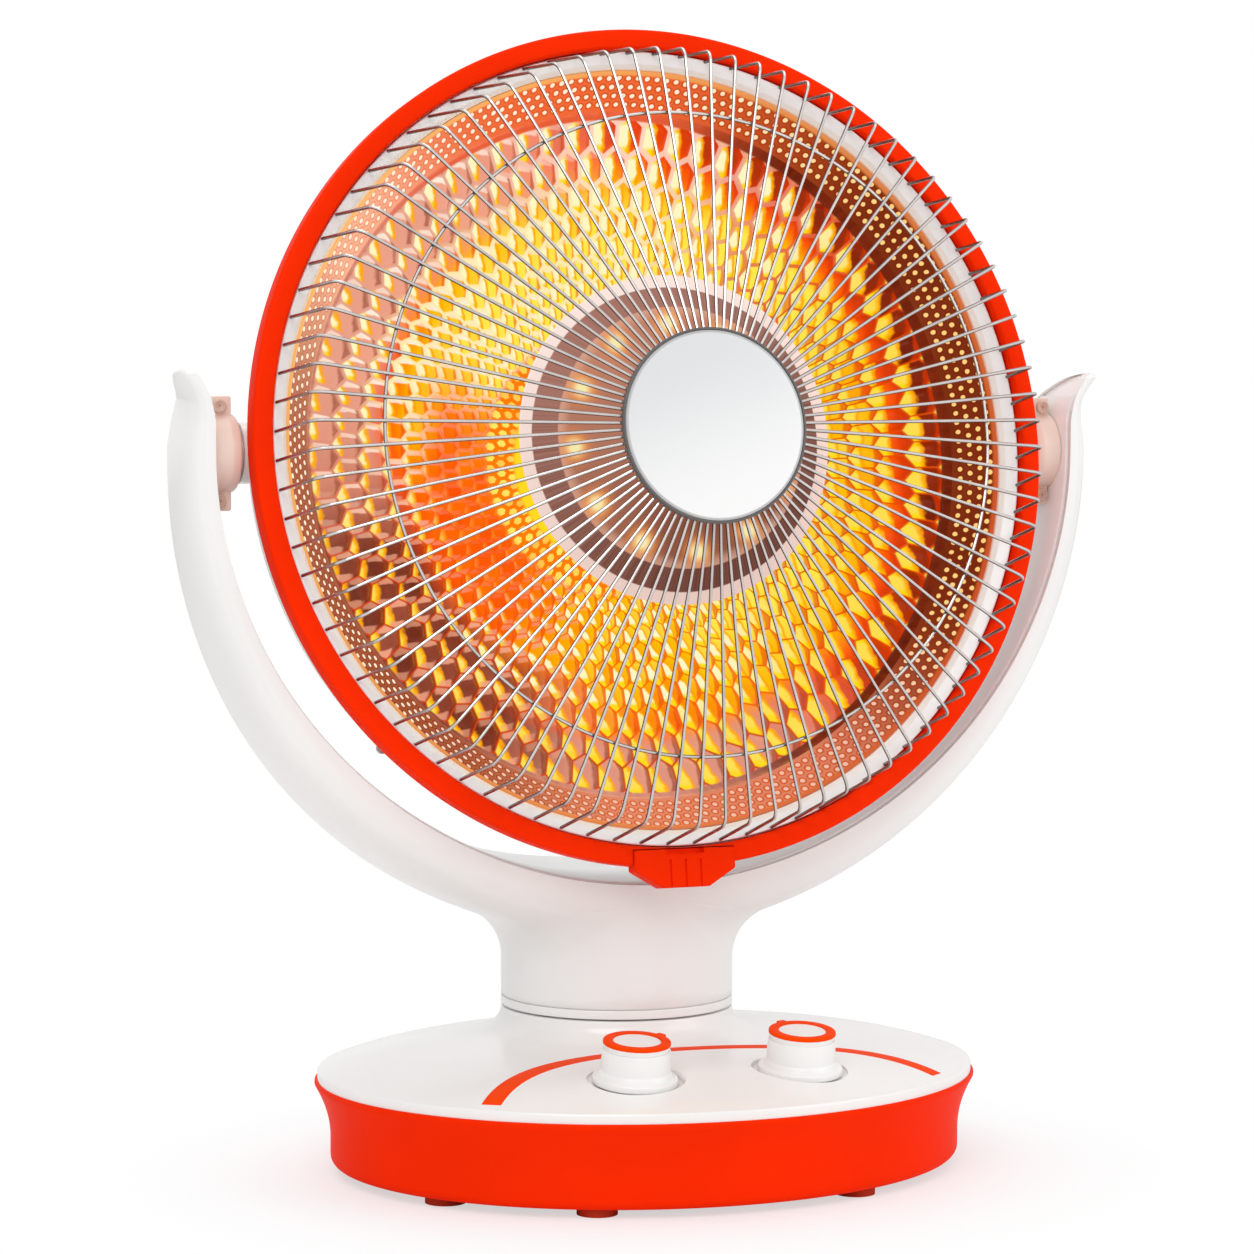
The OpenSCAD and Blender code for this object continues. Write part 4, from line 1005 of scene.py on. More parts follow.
class Finishes:
    """Every finish of the heater, made once."""

    def __init__(self) -> None:
        """Makes the materials."""
        plain = [
            Finish("white_plastic", (0.88, 0.87, 0.855), 0.30, coat=0.35, spread=0.02, relief=0.003),
            Finish("orange_plastic", (0.95, 0.026, 0.0005), 0.45, spread=0.05, relief=0.004, specular=0.02),
            # white plastic of the pivot blocks, tinted peach as painted glow from the ring and the element
            Finish("block_white_painted_glow", (0.84, 0.68, 0.59), 0.40, spread=0.02, relief=0.003),
            Finish("orange_trim", (0.96, 0.060, 0.0005), 0.45, spread=0.05, relief=0.004, specular=0.02),
            # pale screws of the pivot blocks, tinted peach as painted glow
            Finish("screw_pale_painted_glow", (0.66, 0.47, 0.38), 0.38, spread=0.03, relief=0.003),
            # the housing's white, lighter than the other white plastic as painted light inside the ring
            Finish("lip_white_painted_light", (0.97, 0.97, 0.97), 0.22, coat=0.3, spread=0.010, relief=0.003),
            Finish("orange_rubber", (0.48, 0.035, 0.008), 0.75, spread=0.10, relief=0.02, specular=0.2),
            Finish("black_plastic", (0.03, 0.03, 0.03), 0.45, spread=0.15, relief=0.01),
            Finish("zinc_steel", (0.62, 0.61, 0.60), 0.34, metallic=1.0, spread=0.08, relief=0.006),
            Finish("cap_edge", (0.10, 0.09, 0.09), 0.35, spread=0.1),
            Finish("ceramic", (0.83, 0.80, 0.74), 0.6, spread=0.05, relief=0.02, speckle=0.25),
            Finish("glowing_wire", (0.9, 0.35, 0.1), 0.5, spread=0.1, glow=(1.0, 0.45, 0.08)),
            Finish("iron", (0.10, 0.10, 0.105), 0.7, metallic=0.6, spread=0.2, relief=0.06, grain=400.0),
        ]
        self.by_name: dict[str, bpy.types.Material] = {finish.name: finish.material() for finish in plain}
        for special in (GlowingDish(), StippledBand(), ShadePaintedGlow(), PlatedWire(), SatinCap()):
            self.by_name[special.name] = special.material()


# --- the workshop ------------------------------------------------------------


class Workshop:
    """Turns shapes into pieces, and ties them to the frame."""

    def __init__(self, frame: dict, finishes: Finishes) -> None:
        """Keeps the frame and the finishes.

        Args:
            finishes: The materials.
        """
        self.nodes: dict[str, bpy.types.Object] = frame["nodes"]
        self.slots = {part["node"]: part["material_slot"] for part in frame["record"]["subparts"]}
        self.finishes = finishes

    def mesh(self, name: str, shape: Shape) -> bpy.types.Object:
        """Makes a closed, outward mesh in metres.

        Args:
            name: Name of the object.
            shape: Its points and faces.

        Returns:
            The object, linked to the scene.
        """
        mesh = bpy.data.meshes.new(name)
        mesh.from_pydata((shape.points * MM).tolist(), [], shape.faces)
        # the painted sheen goes on as a point attribute, for the wire's painted highlight and shade
        if shape.tone is not None:
            painted_sheens = mesh.attributes.new("tone", "FLOAT", "POINT")
            painted_sheens.data.foreach_set("value", shape.tone.astype(np.float32))
        work = bmesh.new()
        work.from_mesh(mesh)
        bmesh.ops.remove_doubles(work, verts=work.verts, dist=2e-6)
        bmesh.ops.dissolve_degenerate(work, edges=work.edges, dist=1e-7)
        bmesh.ops.recalc_face_normals(work, faces=work.faces)
        work.to_mesh(mesh)
        work.free()
        piece = bpy.data.objects.new(name, mesh)
        bpy.context.scene.collection.objects.link(piece)
        return piece

    def cut(self, piece: bpy.types.Object, cutter: Shape) -> None:
        """Takes a shape away from a piece.

        Args:
            piece: The piece that is cut.
            cutter: What is taken away.
        """
        tool = self.mesh("cutter", cutter)
        modifier = piece.modifiers.new("cut", "BOOLEAN")
        modifier.operation = "DIFFERENCE"
        modifier.solver = "EXACT"
        modifier.object = tool
        sight = bpy.context.evaluated_depsgraph_get()
        result = bpy.data.meshes.new_from_object(piece.evaluated_get(sight))
        piece.modifiers.clear()
        old = piece.data
        piece.data = result
        bpy.data.meshes.remove(old)
        spare = tool.data
        bpy.data.objects.remove(tool)
        bpy.data.meshes.remove(spare)

    def piece(self, name: str, shape: Shape, finish: str, body: Body, slot: str,
              replaces: Sequence[str] = (), cutters: Sequence[Shape] = (),
              sharp: float = 32.0) -> bpy.types.Object:
        """Makes one finished piece.

        Args:
            name: Its name.
            shape: Its shape in the row frame.
            finish: The material's name.
            body: The body that it rides on.
            slot: The record's material slot; not used.
            replaces: CAD nodes that it stands for.
            cutters: Shapes that are taken away from it.
            sharp: Angle in degrees from which an edge shows.

        Returns:
            The piece.
        """
        piece = self.mesh(name, shape)
        for cutter in cutters:
            self.cut(piece, cutter)
        piece.name = name
        piece.data.name = name
        piece.data.materials.clear()
        piece.data.materials.append(self.finishes.by_name[finish])
        piece.data.shade_smooth()
        piece.data.set_sharp_from_angle(angle=math.radians(sharp))
        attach(piece, body.value)
        if replaces:
            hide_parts(*replaces)
        LOG.info("%s: %d faces", name, len(piece.data.polygons))
        return piece

    def dress(self, finish_of_slot: dict[str, str]) -> None:
        """Gives every carried-over node the finish of its slot.

        Args:
            finish_of_slot: Material names by slot.
        """
        for name, node in self.nodes.items():
            material = self.finishes.by_name[finish_of_slot[self.slots[name]]]
            node.data.materials.clear()
            node.data.materials.append(material)


# --- base --------------------------------------------------------------------


@dataclass
class Base:
    """Oval tray, domed cover with its collar, stripe, knobs and their wells."""

    half_w: float = 137.5
    half_d: float = 115.5
    lip: float = 1.2
    seam_z: float = 38.0
    rim_h: float = 3.6
    dome_h: float = 10.0
    dome_n: float = 5.0
    wall: float = 3.0
    floor_z: float = 3.5
    flare: float = 6.5
    flare_h: float = 22.0
    corner: float = 4.0
    collar_r: float = 48.3
    collar_z: float = 60.5
    bore_r: float = 30.1
    cove_w: float = 10.0
    knob_x: float = 35.0
    knob_y: float = 76.0
    lean: float = 7.0
    well_r: float = 19.0
    well_depth: float = 2.4
    stripe_r: float = 124.0
    stripe_w: float = 8.0
    stripe_front: float = -26.8
    stripe_half: float = 55.0
    gland_z: float = 20.0
    gland_d: float = 13.3
    screw_in: float = 18.0
    screw_hole_r: float = 3.65
    plunger_at: tuple[float, float] = (-78.0, 26.0)
    plunger_hole_r: float = 4.0
    screw_angles: tuple[int, ...] = (0, 45, 135, 180, 225, 315)

    @property
    def squeeze(self) -> float:
        """Depth over width of the oval."""
        return self.half_d / self.half_w

    def dome(self, x: np.ndarray, y: np.ndarray) -> np.ndarray:
        """Height of the cover: rim + rise (1 - q^n), with q the share of the way to the rim."""
        wide = self.half_w - self.lip
        share = np.sqrt((x / wide) ** 2 + (y / (wide * self.squeeze)) ** 2)
        return self.seam_z + self.rim_h + self.dome_h * (1 - np.minimum(share, 1) ** self.dome_n)

    def rim_reach(self, turn: np.ndarray) -> np.ndarray:
        """Distance from the neck's axis to the rim in a direction, where the ray meets the oval."""
        wide = self.half_w - self.lip
        deep = wide * self.squeeze
        c, s = np.cos(turn), np.sin(turn)
        a = (c / wide) ** 2 + (s / deep) ** 2
        b = 2 * NECK_Y * s / deep ** 2
        k = (NECK_Y / deep) ** 2 - 1
        return (-b + np.sqrt(b * b - 4 * a * k)) / (2 * a)

    def cover_shape(self) -> Shape:
        """The cover: rays from the collar down its cove, over the dome and round the rim.

        Returns:
            A closed shell of the wall's thickness.
        """
        turn = np.linspace(0, 2 * math.pi, 420, endpoint=False)[:, None]
        reach = self.rim_reach(turn)
        start = self.collar_r
        # radii: bore, collar's edge, the cove's quarter curve, the dome, and the rim's round edge
        cove = np.linspace(0, 1, 15)[None, :] ** 1.6
        over = np.linspace(0, 1, 70)[None, 1:]
        edge = np.linspace(0, math.pi / 2, 5)[None, 1:]
        soft = 1.0
        r_cove = np.broadcast_to(start + self.cove_w * cove, (len(turn), cove.size))
        r_dome = start + self.cove_w + (reach - soft - start - self.cove_w) * over
        radius = np.concatenate([r_cove, r_dome], axis=1)
        x, y = radius * np.cos(turn), NECK_Y + radius * np.sin(turn)
        ground = self.dome(x, y)
        share = np.clip((radius - start) / self.cove_w, 0, 1)
        lift = 1 - np.sqrt(np.clip(1 - (1 - share) ** 2, 0, 1))
        height = ground + (self.collar_z - 0.5 - ground) * lift
        r_edge = reach - soft + soft * np.sin(edge)
        z_edge = height[:, -1:] - soft * (1 - np.cos(edge))
        inside = reach - self.wall
        rim_z = self.seam_z + self.rim_h
        radii = [self.bore_r, start - 0.5, start - 0.15, radius, r_edge,
                 reach, inside, inside, start - 3, start - 3, self.bore_r]
        heights = [self.collar_z, self.collar_z, self.collar_z - 0.15, height, z_edge,
                   self.seam_z, self.seam_z, rim_z - 2.6, rim_z + 5, self.collar_z - 3, self.collar_z - 3]
        return Shape.spokes(turn, radii, heights, NECK_Y)

    def at_knob(self, side: int) -> Callable[[np.ndarray], np.ndarray]:
        """Places points of a knob's own frame on the cover.

        Args:
            side: -1 for the left knob, 1 for the right one.

        Returns:
            The placing function.
        """
        lean = math.radians(self.lean)
        seat = float(self.dome(np.array(self.knob_x), np.array(-self.knob_y)))

        def place(points: np.ndarray) -> np.ndarray:
            """Turns about X by the lean, then moves to the seat."""
            x, y, z = points[..., 0], points[..., 1], points[..., 2]
            return np.stack([x + side * self.knob_x, y * math.cos(lean) - z * math.sin(lean) - self.knob_y,
                             y * math.sin(lean) + z * math.cos(lean) + seat], axis=-1)

        return place

    def well(self, side: int) -> Shape:
        """What is cut out of the cover round a knob."""
        wide, deep = self.well_r, self.well_depth
        profile = np.array([[0, -deep], [wide - 0.5, -deep], [wide, -deep + 0.4], [wide, -0.9],
                            [wide + 0.3, -0.3], [wide + 1.2, 0.9], [wide + 1.2, 9], [0, 9]])
        return Shape.revolved(profile, 96).placed(self.at_knob(side))

    def tray_shape(self) -> Shape:
        """The tray: an oval turn of its flared wall, in one shell with its floor."""
        def side(inset: float) -> list[tuple[float, float]]:
            """The wall's line, drawn in by inset: r = a - flare (1 - (1 - u)^2) up the flare."""
            a = self.half_w - inset
            bend = np.linspace(0, math.pi / 2, 7)
            foot = [(a - self.flare - self.corner + self.corner * math.sin(t),
                     self.floor_z + inset + self.corner * (1 - math.cos(t))) for t in bend]
            rise = [(a - self.flare * (1 - (1 - u) ** 2), self.seam_z - 1.5 - self.flare_h * u)
                    for u in np.linspace(1, 0, 16)]
            return foot + rise

        top = self.seam_z - 0.05
        rim = [(self.half_w, self.seam_z - 0.5), (self.half_w - 0.5, top), (self.half_w - self.wall, top)]
        profile = ([(0.0, self.floor_z)] + side(0.0) + rim + side(self.wall)[::-1]
                   + [(0.0, self.floor_z + self.wall)])
        return Shape.revolved(np.array(profile), 300, self.squeeze)

    def tray_cutters(self) -> list[Shape]:
        """Screw wells, the plunger's hole and the gland's hole."""
        cuts: list[Shape] = []
        reach = self.half_w - self.screw_in
        for angle in self.screw_angles:
            a = math.radians(angle)
            at = (reach * math.cos(a), reach * self.squeeze * math.sin(a))
            cuts.append(Shape.prism(circle(self.screw_hole_r, 24, at), 0.0, 12.0, 0.01))
        cuts.append(Shape.prism(circle(self.plunger_hole_r, 24, self.plunger_at), 0.0, 12.0, 0.01))
        hole = Shape.prism(circle(self.gland_d / 2, 32), -self.half_d, -self.half_d + 30, 0.01)
        cuts.append(hole.placed(lambda p: np.stack(
            [p[..., 0], -p[..., 2], p[..., 1] + self.gland_z], axis=-1)))
        return cuts

    def stripe_shape(self) -> Shape:
        """The stripe: an arc of constant width laid on the dome, a hair above it."""
        centre = self.stripe_front - self.stripe_r
        sweep = np.linspace(90 - self.stripe_half, 90 + self.stripe_half, 181)
        turn = np.radians(sweep)[:, None]
        across = np.array([0.0, 0.0, 0.15, 0.5, 0.85, 1.0, 1.0])[None, :]
        lift = np.array([-0.5, 0.02, 0.10, 0.12, 0.10, 0.02, -0.5])[None, :]
        radius = self.stripe_r - self.stripe_w * across
        x, y = radius * np.cos(turn), centre + radius * np.sin(turn)
        wide = self.half_w - self.lip - 4
        inside = (x / wide) ** 2 + (y / (wide * self.squeeze)) ** 2 < 1
        keep = inside.all(axis=1)
        points = np.stack([x, y, self.dome(x, y) + lift], axis=-1)[keep]
        return Shape.grid(points, wrap_rows=False)

    def knob_shape(self) -> Shape:
        """A knob: skirt with a step, slightly tapered grip, and a channel in its top."""
        z0 = -self.well_depth + 0.6
        profile = rounded([
            (0, z0 + 0.2, 0), (16.2, z0, 0.3), (17.0, z0 + 0.5, 0.4), (16.6, z0 + 2.5, 0.6),
            (14.6, z0 + 3.3, 0.5), (14.3, z0 + 4.2, 0.4), (13.7, z0 + 5.4, 0.6), (13.2, 14.5, 0.3),
            (13.12, 14.0, 0), (9.42, 14.0, 0), (9.4, 14.9, 0.3), (8.9, 15.0, 0.2), (0, 15.02, 0)], 4)
        return Shape.revolved(profile, 96)

    def knob_ring_shape(self, tab_angle: float) -> Shape:
        """A knob's ring: a flat band with round edges and a pointer tab.

        Args:
            tab_angle: Direction of the tab, in degrees.

        Returns:
            The ring with its tab.
        """
        section = rounded([(9.45, 13.9, 0), (13.25, 13.9, 0.1), (13.25, 15.3, 0.5), (9.45, 15.3, 0.35)], 4)
        band = Shape.revolved(section, 96)
        tab = Shape.prism(np.array([[12.2, -1.9], [14.8, -1.7], [14.8, 1.7], [12.2, 1.9]]), 14.0, 15.28, 0.25)
        return Shape.joined([band, tab.placed(turned(tab_angle))])

    def build(self, shop: Workshop) -> None:
        """Makes the base's pieces.

        Args:
            shop: The workshop.
        """
        shop.piece("cover", self.cover_shape(), "white_plastic", Body.BASE, "white_plastic",
                   ["base_cover"], [self.well(-1), self.well(1)])
        shop.piece("tray", self.tray_shape(), "orange_plastic", Body.BASE, "orange_plastic",
                   ["base_tray"], self.tray_cutters())
        shop.piece("stripe", self.stripe_shape(), "orange_trim", Body.BASE, "orange_plastic",
                   ["stripe_inlay"])
        knobs = ((-1, Body.LEFT_KNOB, "left", 26.0), (1, Body.RIGHT_KNOB, "right", 103.0))
        for side, body, word, tab in knobs:
            place = self.at_knob(side)
            shop.piece(f"grip_{word}", self.knob_shape().placed(place), "white_plastic", body,
                       "white_plastic", [f"knob_{word}"])
            shop.piece(f"grip_ring_{word}", self.knob_ring_shape(tab).placed(place), "orange_trim", body,
                       "orange_plastic", [f"knob_{word}_ring"])


# --- yoke --------------------------------------------------------------------


@dataclass
class Yoke:
    """Leaf-tipped yoke on its round neck, with the inner cover and the pivots."""

    neck_r: float = 48.3
    neck_z: float = 64.9
    groove: float = 0.4
    trim_z: float = 61.3
    spindle_r: float = 30.0
    yoke_r: float = 200.0
    in_side: float = 184.0
    in_bottom: float = 174.0
    arm_depth: float = 44.0
    tip_h: float = 33.0
    cover_sink: float = 1.0
    cover_t: float = 2.0
    wall: float = 2.6
    crown_n: float = 2.7
    fillet_r: float = 22.0
    arc_steps: int = 120
    tip_steps: int = 48
    dip: float = 2.8
    flare: float = 2.7
    lobe_r: float = 2.3
    leaf_from: float = 0.36
    screw_at: float = 18.5
    side_in: float = 3.5
    block_face: float = 172.2
    block_back: float = 183.5
    ear_in: float = 13.0
    ear_out: float = 22.4

    @property
    def front_y(self) -> float:
        """Plane of the yoke's front."""
        return PIVOT_Y - self.arm_depth / 2

    def arm_in(self, bend: np.ndarray) -> np.ndarray:
        """Inner radius of the arm at an angle from straight down."""
        return self.in_side - (self.in_side - self.in_bottom) * np.clip(np.cos(bend), 0, 1) ** 1.6

    def arm_half(self, bend: np.ndarray) -> np.ndarray:
        """Half the arm's depth, which grows towards the neck."""
        back = NECK_Y + self.neck_r + 1
        more = back - self.front_y - self.arm_depth
        return (self.arm_depth + more * np.clip(np.cos(bend), 0, 1) ** 1.5) / 2

    def arm_thick(self, bend: np.ndarray) -> np.ndarray:
        """Thickness of the arm from its inner radius to its crown."""
        return self.yoke_r - self.side_in * np.sin(bend) ** 2 - self.arm_in(bend)

    def stations(self) -> dict[str, np.ndarray]:
        """Sections along the yoke from the left tip, round the bottom, to the right one.

        Returns:
            Arrays of origin height, direction, inner radius, thickness and half depth.
        """
        swing = np.linspace(math.pi / 2, 0, self.tip_steps, endpoint=False)
        bend = np.radians(np.linspace(-90, 90, 2 * self.arc_steps + 1))
        # the outer line dips and then flares out to the tip's lobe; the inner one is a quarter ellipse
        u = np.sin(swing)
        outer = (self.yoke_r - self.side_in - self.dip * smoothstep(0.0, 0.62, u)
                 + (self.dip + self.flare) * smoothstep(0.62, 1.0, u))
        over = np.clip((u - self.leaf_from) / (1 - self.leaf_from), 0, 1)
        sweep = 1 - (1 - over ** 1.6) ** 0.7
        lobe = self.yoke_r - self.side_in + self.flare - 2 * self.lobe_r
        inner = self.in_side + (lobe - self.in_side) * sweep
        thick = outer - inner
        left_h = (1 - u) * self.tip_h
        close = np.sqrt(np.clip(1 - np.clip(1 - left_h / self.lobe_r, 0, 1) ** 2, 0.0004, 1))
        slim = 1 - 0.80 * sweep
        tip = {"rise": self.tip_h * u, "inner": inner + thick * (1 - close) / 2, "thick": thick * close,
               "half": self.arm_depth / 2 * slim * (0.35 + 0.65 * close), "middle": self.arm_depth / 2 * slim}
        zero = np.zeros_like(bend)
        half = self.arm_half(bend)
        arc = {"rise": zero, "inner": self.arm_in(bend), "thick": self.arm_thick(bend),
               "half": half, "middle": half}
        both = {key: np.concatenate([tip[key], arc[key], tip[key][::-1]]) for key in arc}
        flat, edge = np.zeros(self.tip_steps), np.ones(self.tip_steps)
        both["dx"] = np.concatenate([-edge, np.sin(bend), edge])
        both["dz"] = np.concatenate([flat, -np.cos(bend), flat])
        return both

    def spots(self, s: dict[str, np.ndarray], radius: np.ndarray, depth: np.ndarray) -> np.ndarray:
        """Points of the sections at given radii and depths.

        Args:
            s: The stations.
            radius: Rows of radii, one row for each station.
            depth: Rows of depths, measured from each section's middle.

        Returns:
            Points in the row frame.
        """
        middle = self.front_y + s["middle"][:, None]
        return np.stack([s["dx"][:, None] * radius, middle + depth,
                         PIVOT_Z + s["rise"][:, None] + s["dz"][:, None] * radius], axis=-1)

    def arms_shape(self) -> Shape:
        """The yoke's shell: a superellipse crown with a soft crease near its front lip.

        Returns:
            The outer skin closed by an inner face at the lips.
        """
        s = self.stations()
        turn = np.linspace(0, math.pi, 49)[None, :]
        c, sn = np.cos(turn), np.sin(turn)
        wide = np.sign(c) * np.abs(c) ** (2 / self.crown_n)
        tall = np.abs(sn) ** (2 / self.crown_n)
        crease = np.exp(-(((c + 0.93) / 0.035) ** 2)) * 0.55
        sink = self.cover_sink * smoothstep(4.0, 10.0, s["thick"][:, None])
        lip = s["inner"][:, None] + sink
        high = np.maximum(s["thick"][:, None] - sink, 0.05)
        fade = np.clip(s["thick"][:, None] / 14, 0, 1)
        radius = lip + high * tall - crease * fade
        depth = s["half"][:, None] * wide
        outer = self.spots(s, radius, depth)
        sunk = np.minimum(high * 0.30, 1.6) * smoothstep(0.6, 5.0, s["thick"][:, None])
        lips = []
        for share, drop in ((-0.985, 0.12), (-0.93, -0.05), (-0.90, 0.25), (-0.895, 1.0),
                            (0.895, 1.0), (0.90, 0.25), (0.93, -0.05), (0.985, 0.12)):
            lips.append(self.spots(s, lip + sunk * drop, s["half"][:, None] * share))
        return Shape.grid(np.concatenate([outer] + lips, axis=1), wrap_rows=False)

    def crown_at(self, bend: np.ndarray, y: np.ndarray) -> tuple[np.ndarray, np.ndarray]:
        """Radius of the crown's underside at an angle and a depth, and whether it is there."""
        half = self.arm_half(bend)
        side = np.abs(y - self.front_y - half) / half
        full = self.arm_thick(bend) - self.cover_sink
        tall = np.clip(1 - np.minimum(side, 1) ** self.crown_n, 0, 1) ** (1 / self.crown_n)
        return self.arm_in(bend) + self.cover_sink + full * tall, side < 1

    def under_z(self, x: np.ndarray, y: np.ndarray) -> np.ndarray:
        """Height of the crown's underside over points, or far up where there is none."""
        bend = np.zeros_like(x)
        for _ in range(8):
            radius, there = self.crown_at(bend, y)
            bend = np.arcsin(np.clip(x / radius, -1, 1))
        return np.where(there, PIVOT_Z - radius * np.cos(bend), 1e6)

    def neck_shape(self) -> Shape:
        """The neck: a tube whose top turns into the arms by a fillet.

        Returns:
            For each direction, a line straight up to the fillet's circle, which
            touches the crown's underside from below, then back down inside.
        """
        turn = np.linspace(0, 2 * math.pi, 240, endpoint=False)[:, None]
        reach = self.neck_r + self.fillet_r * np.linspace(0, 1, 160)[None, :]
        x, y = reach * np.cos(turn), NECK_Y + reach * np.sin(turn)
        under = self.under_z(x, y)
        over = reach - self.neck_r - self.fillet_r
        room = under - np.sqrt(np.clip(self.fillet_r ** 2 - over ** 2, 0, None))
        touch = np.argmin(room, axis=1)
        centre = room[np.arange(len(touch)), touch][:, None]
        last = np.arccos(np.clip(over[0, touch] / self.fillet_r, -1, 1))[:, None]
        low = self.neck_z + self.groove
        climb = low + 0.35 + (centre - low - 0.35) * np.linspace(0, 1, 8)[None, :]
        bend = math.pi + (last - math.pi) * np.linspace(0, 1, 15)[None, 1:]
        arc_r = self.neck_r + self.fillet_r + self.fillet_r * np.cos(bend)
        arc_z = centre + self.fillet_r * np.sin(bend)
        top = arc_z[:, -1:] + 2.2
        radii = [self.neck_r - 0.35, np.full_like(climb, self.neck_r), arc_r,
                 arc_r[:, -1:] - 0.3, self.neck_r - 4, self.neck_r - 4]
        return Shape.spokes(turn, radii, [low, climb, arc_z, top, top, low], NECK_Y)

    def inner_cover_shape(self) -> Shape:
        """The inner cover: a plate that follows the yoke's inner face, with round edges."""
        ends = self.tip_steps // 2
        s = {key: value[ends: len(value) - ends] for key, value in self.stations().items()}
        half = s["half"][:, None] - self.wall - 0.3
        rise = np.array([[0.3, 0.0, 0.0, 0.0, 0.3, 1.0, self.cover_t, self.cover_t, 1.0]])
        radius = s["inner"][:, None] + rise
        depth = half * np.array([[-1, -1, 0, 1, 1, 1, 1, -1, -1]])
        depth = depth + np.array([[0.25, 0.8, 0, -0.8, -0.25, 0, 0, 0, 0]])
        return Shape.grid(self.spots(s, radius, depth), wrap_rows=False)

    def trim_shape(self) -> Shape:
        """The trim ring, with soft edges that show its two grooves."""
        profile = rounded([(self.spindle_r + 0.2, self.trim_z, 0), (self.neck_r, self.trim_z, 0.45),
                           (self.neck_r, self.neck_z, 0.3), (self.spindle_r + 0.2, self.neck_z, 0)], 4)
        return Shape.revolved(profile, 240).placed(about_neck)

    def pivot_block(self, side: int) -> Shape:
        """One pivot block: a round boss and its two screw ears, in the row frame.

        Args:
            side: -1 for the left one, 1 for the right one.

        Returns:
            The block as joined closed shapes.
        """
        face, back = self.block_face, self.block_back
        boss = Shape.revolved(rounded([(4.1, face, 0.3), (15.0, face, 1.6), (16.0, face + 4, 0.8),
                                       (16.0, back, 0), (4.1, back, 0)], 4), 96)
        ears = []
        for end in (-1, 1):
            x0, x1 = sorted((end * self.ear_in, end * self.ear_out))
            outline = rounded([(x0, 174.6, 0.8), (x1, 174.6, 0.8), (x1, back - 0.8, 0.2),
                               (x0, back - 0.8, 0.2)], 3)
            ear = Shape.prism(outline, -6.0, 6.0, 0.5)
            ears.append(ear.placed(lambda p: np.stack([p[..., 0], p[..., 2], p[..., 1]], axis=-1)))
        whole = Shape.joined([boss] + ears)

        def place(p: np.ndarray) -> np.ndarray:
            """Local Z runs outwards along X, local X runs down."""
            return np.stack([side * p[..., 2], PIVOT_Y + p[..., 1], PIVOT_Z - p[..., 0]], axis=-1)

        return whole.placed(place)

    def block_screw_shapes(self) -> Shape:
        """The four screws of the pivot blocks, whose recessed heads face forward."""
        profile = rounded([(0.0, -6.0, 0), (1.5, -6.0, 0), (1.5, 6.0, 0), (2.7, 6.02, 0),
                           (2.7, 7.6, 0.35), (1.75, 7.6, 0.15), (1.65, 7.15, 0.1),
                           (0.75, 7.15, 0.1), (0.7, 6.4, 0), (0.0, 6.4, 0)], 3)
        one = Shape.revolved(profile, 32)
        across = self.in_side - 4.5
        screws = []
        for side in (-1, 1):
            for end in (-1, 1):
                place = (side * across, PIVOT_Y, PIVOT_Z + end * self.screw_at)
                screws.append(one.placed(lambda p, at=place: np.stack(
                    [at[0] + p[..., 0], at[1] - p[..., 2], at[2] + p[..., 1]], axis=-1)))
        return Shape.joined(screws)

    def build(self, shop: Workshop) -> None:
        """Makes the yoke's pieces.

        Args:
            shop: The workshop.
        """
        shop.piece("arms", self.arms_shape(), "white_plastic", Body.YOKE, "white_plastic",
                   ["yoke_shell"], sharp=50)
        shop.piece("neck", self.neck_shape(), "white_plastic", Body.YOKE, "white_plastic",
                   ["neck_column"], sharp=50)
        shop.piece("inner_cover", self.inner_cover_shape(), "white_plastic", Body.YOKE, "white_plastic",
                   ["yoke_inner_cover"])
        shop.piece("trim", self.trim_shape(), "white_plastic", Body.YOKE, "white_plastic",
                   ["swivel_trim"])
        for side, word in ((-1, "left"), (1, "right")):
            shop.piece(f"block_{word}", self.pivot_block(side), "block_white_painted_glow", Body.YOKE, "white_plastic",
                       [f"pivot_block_{word}"])
        shop.piece("block_fasteners", self.block_screw_shapes(), "screw_pale_painted_glow", Body.YOKE, "zinc_steel",
                   ["block_screws"])


# --- head --------------------------------------------------------------------


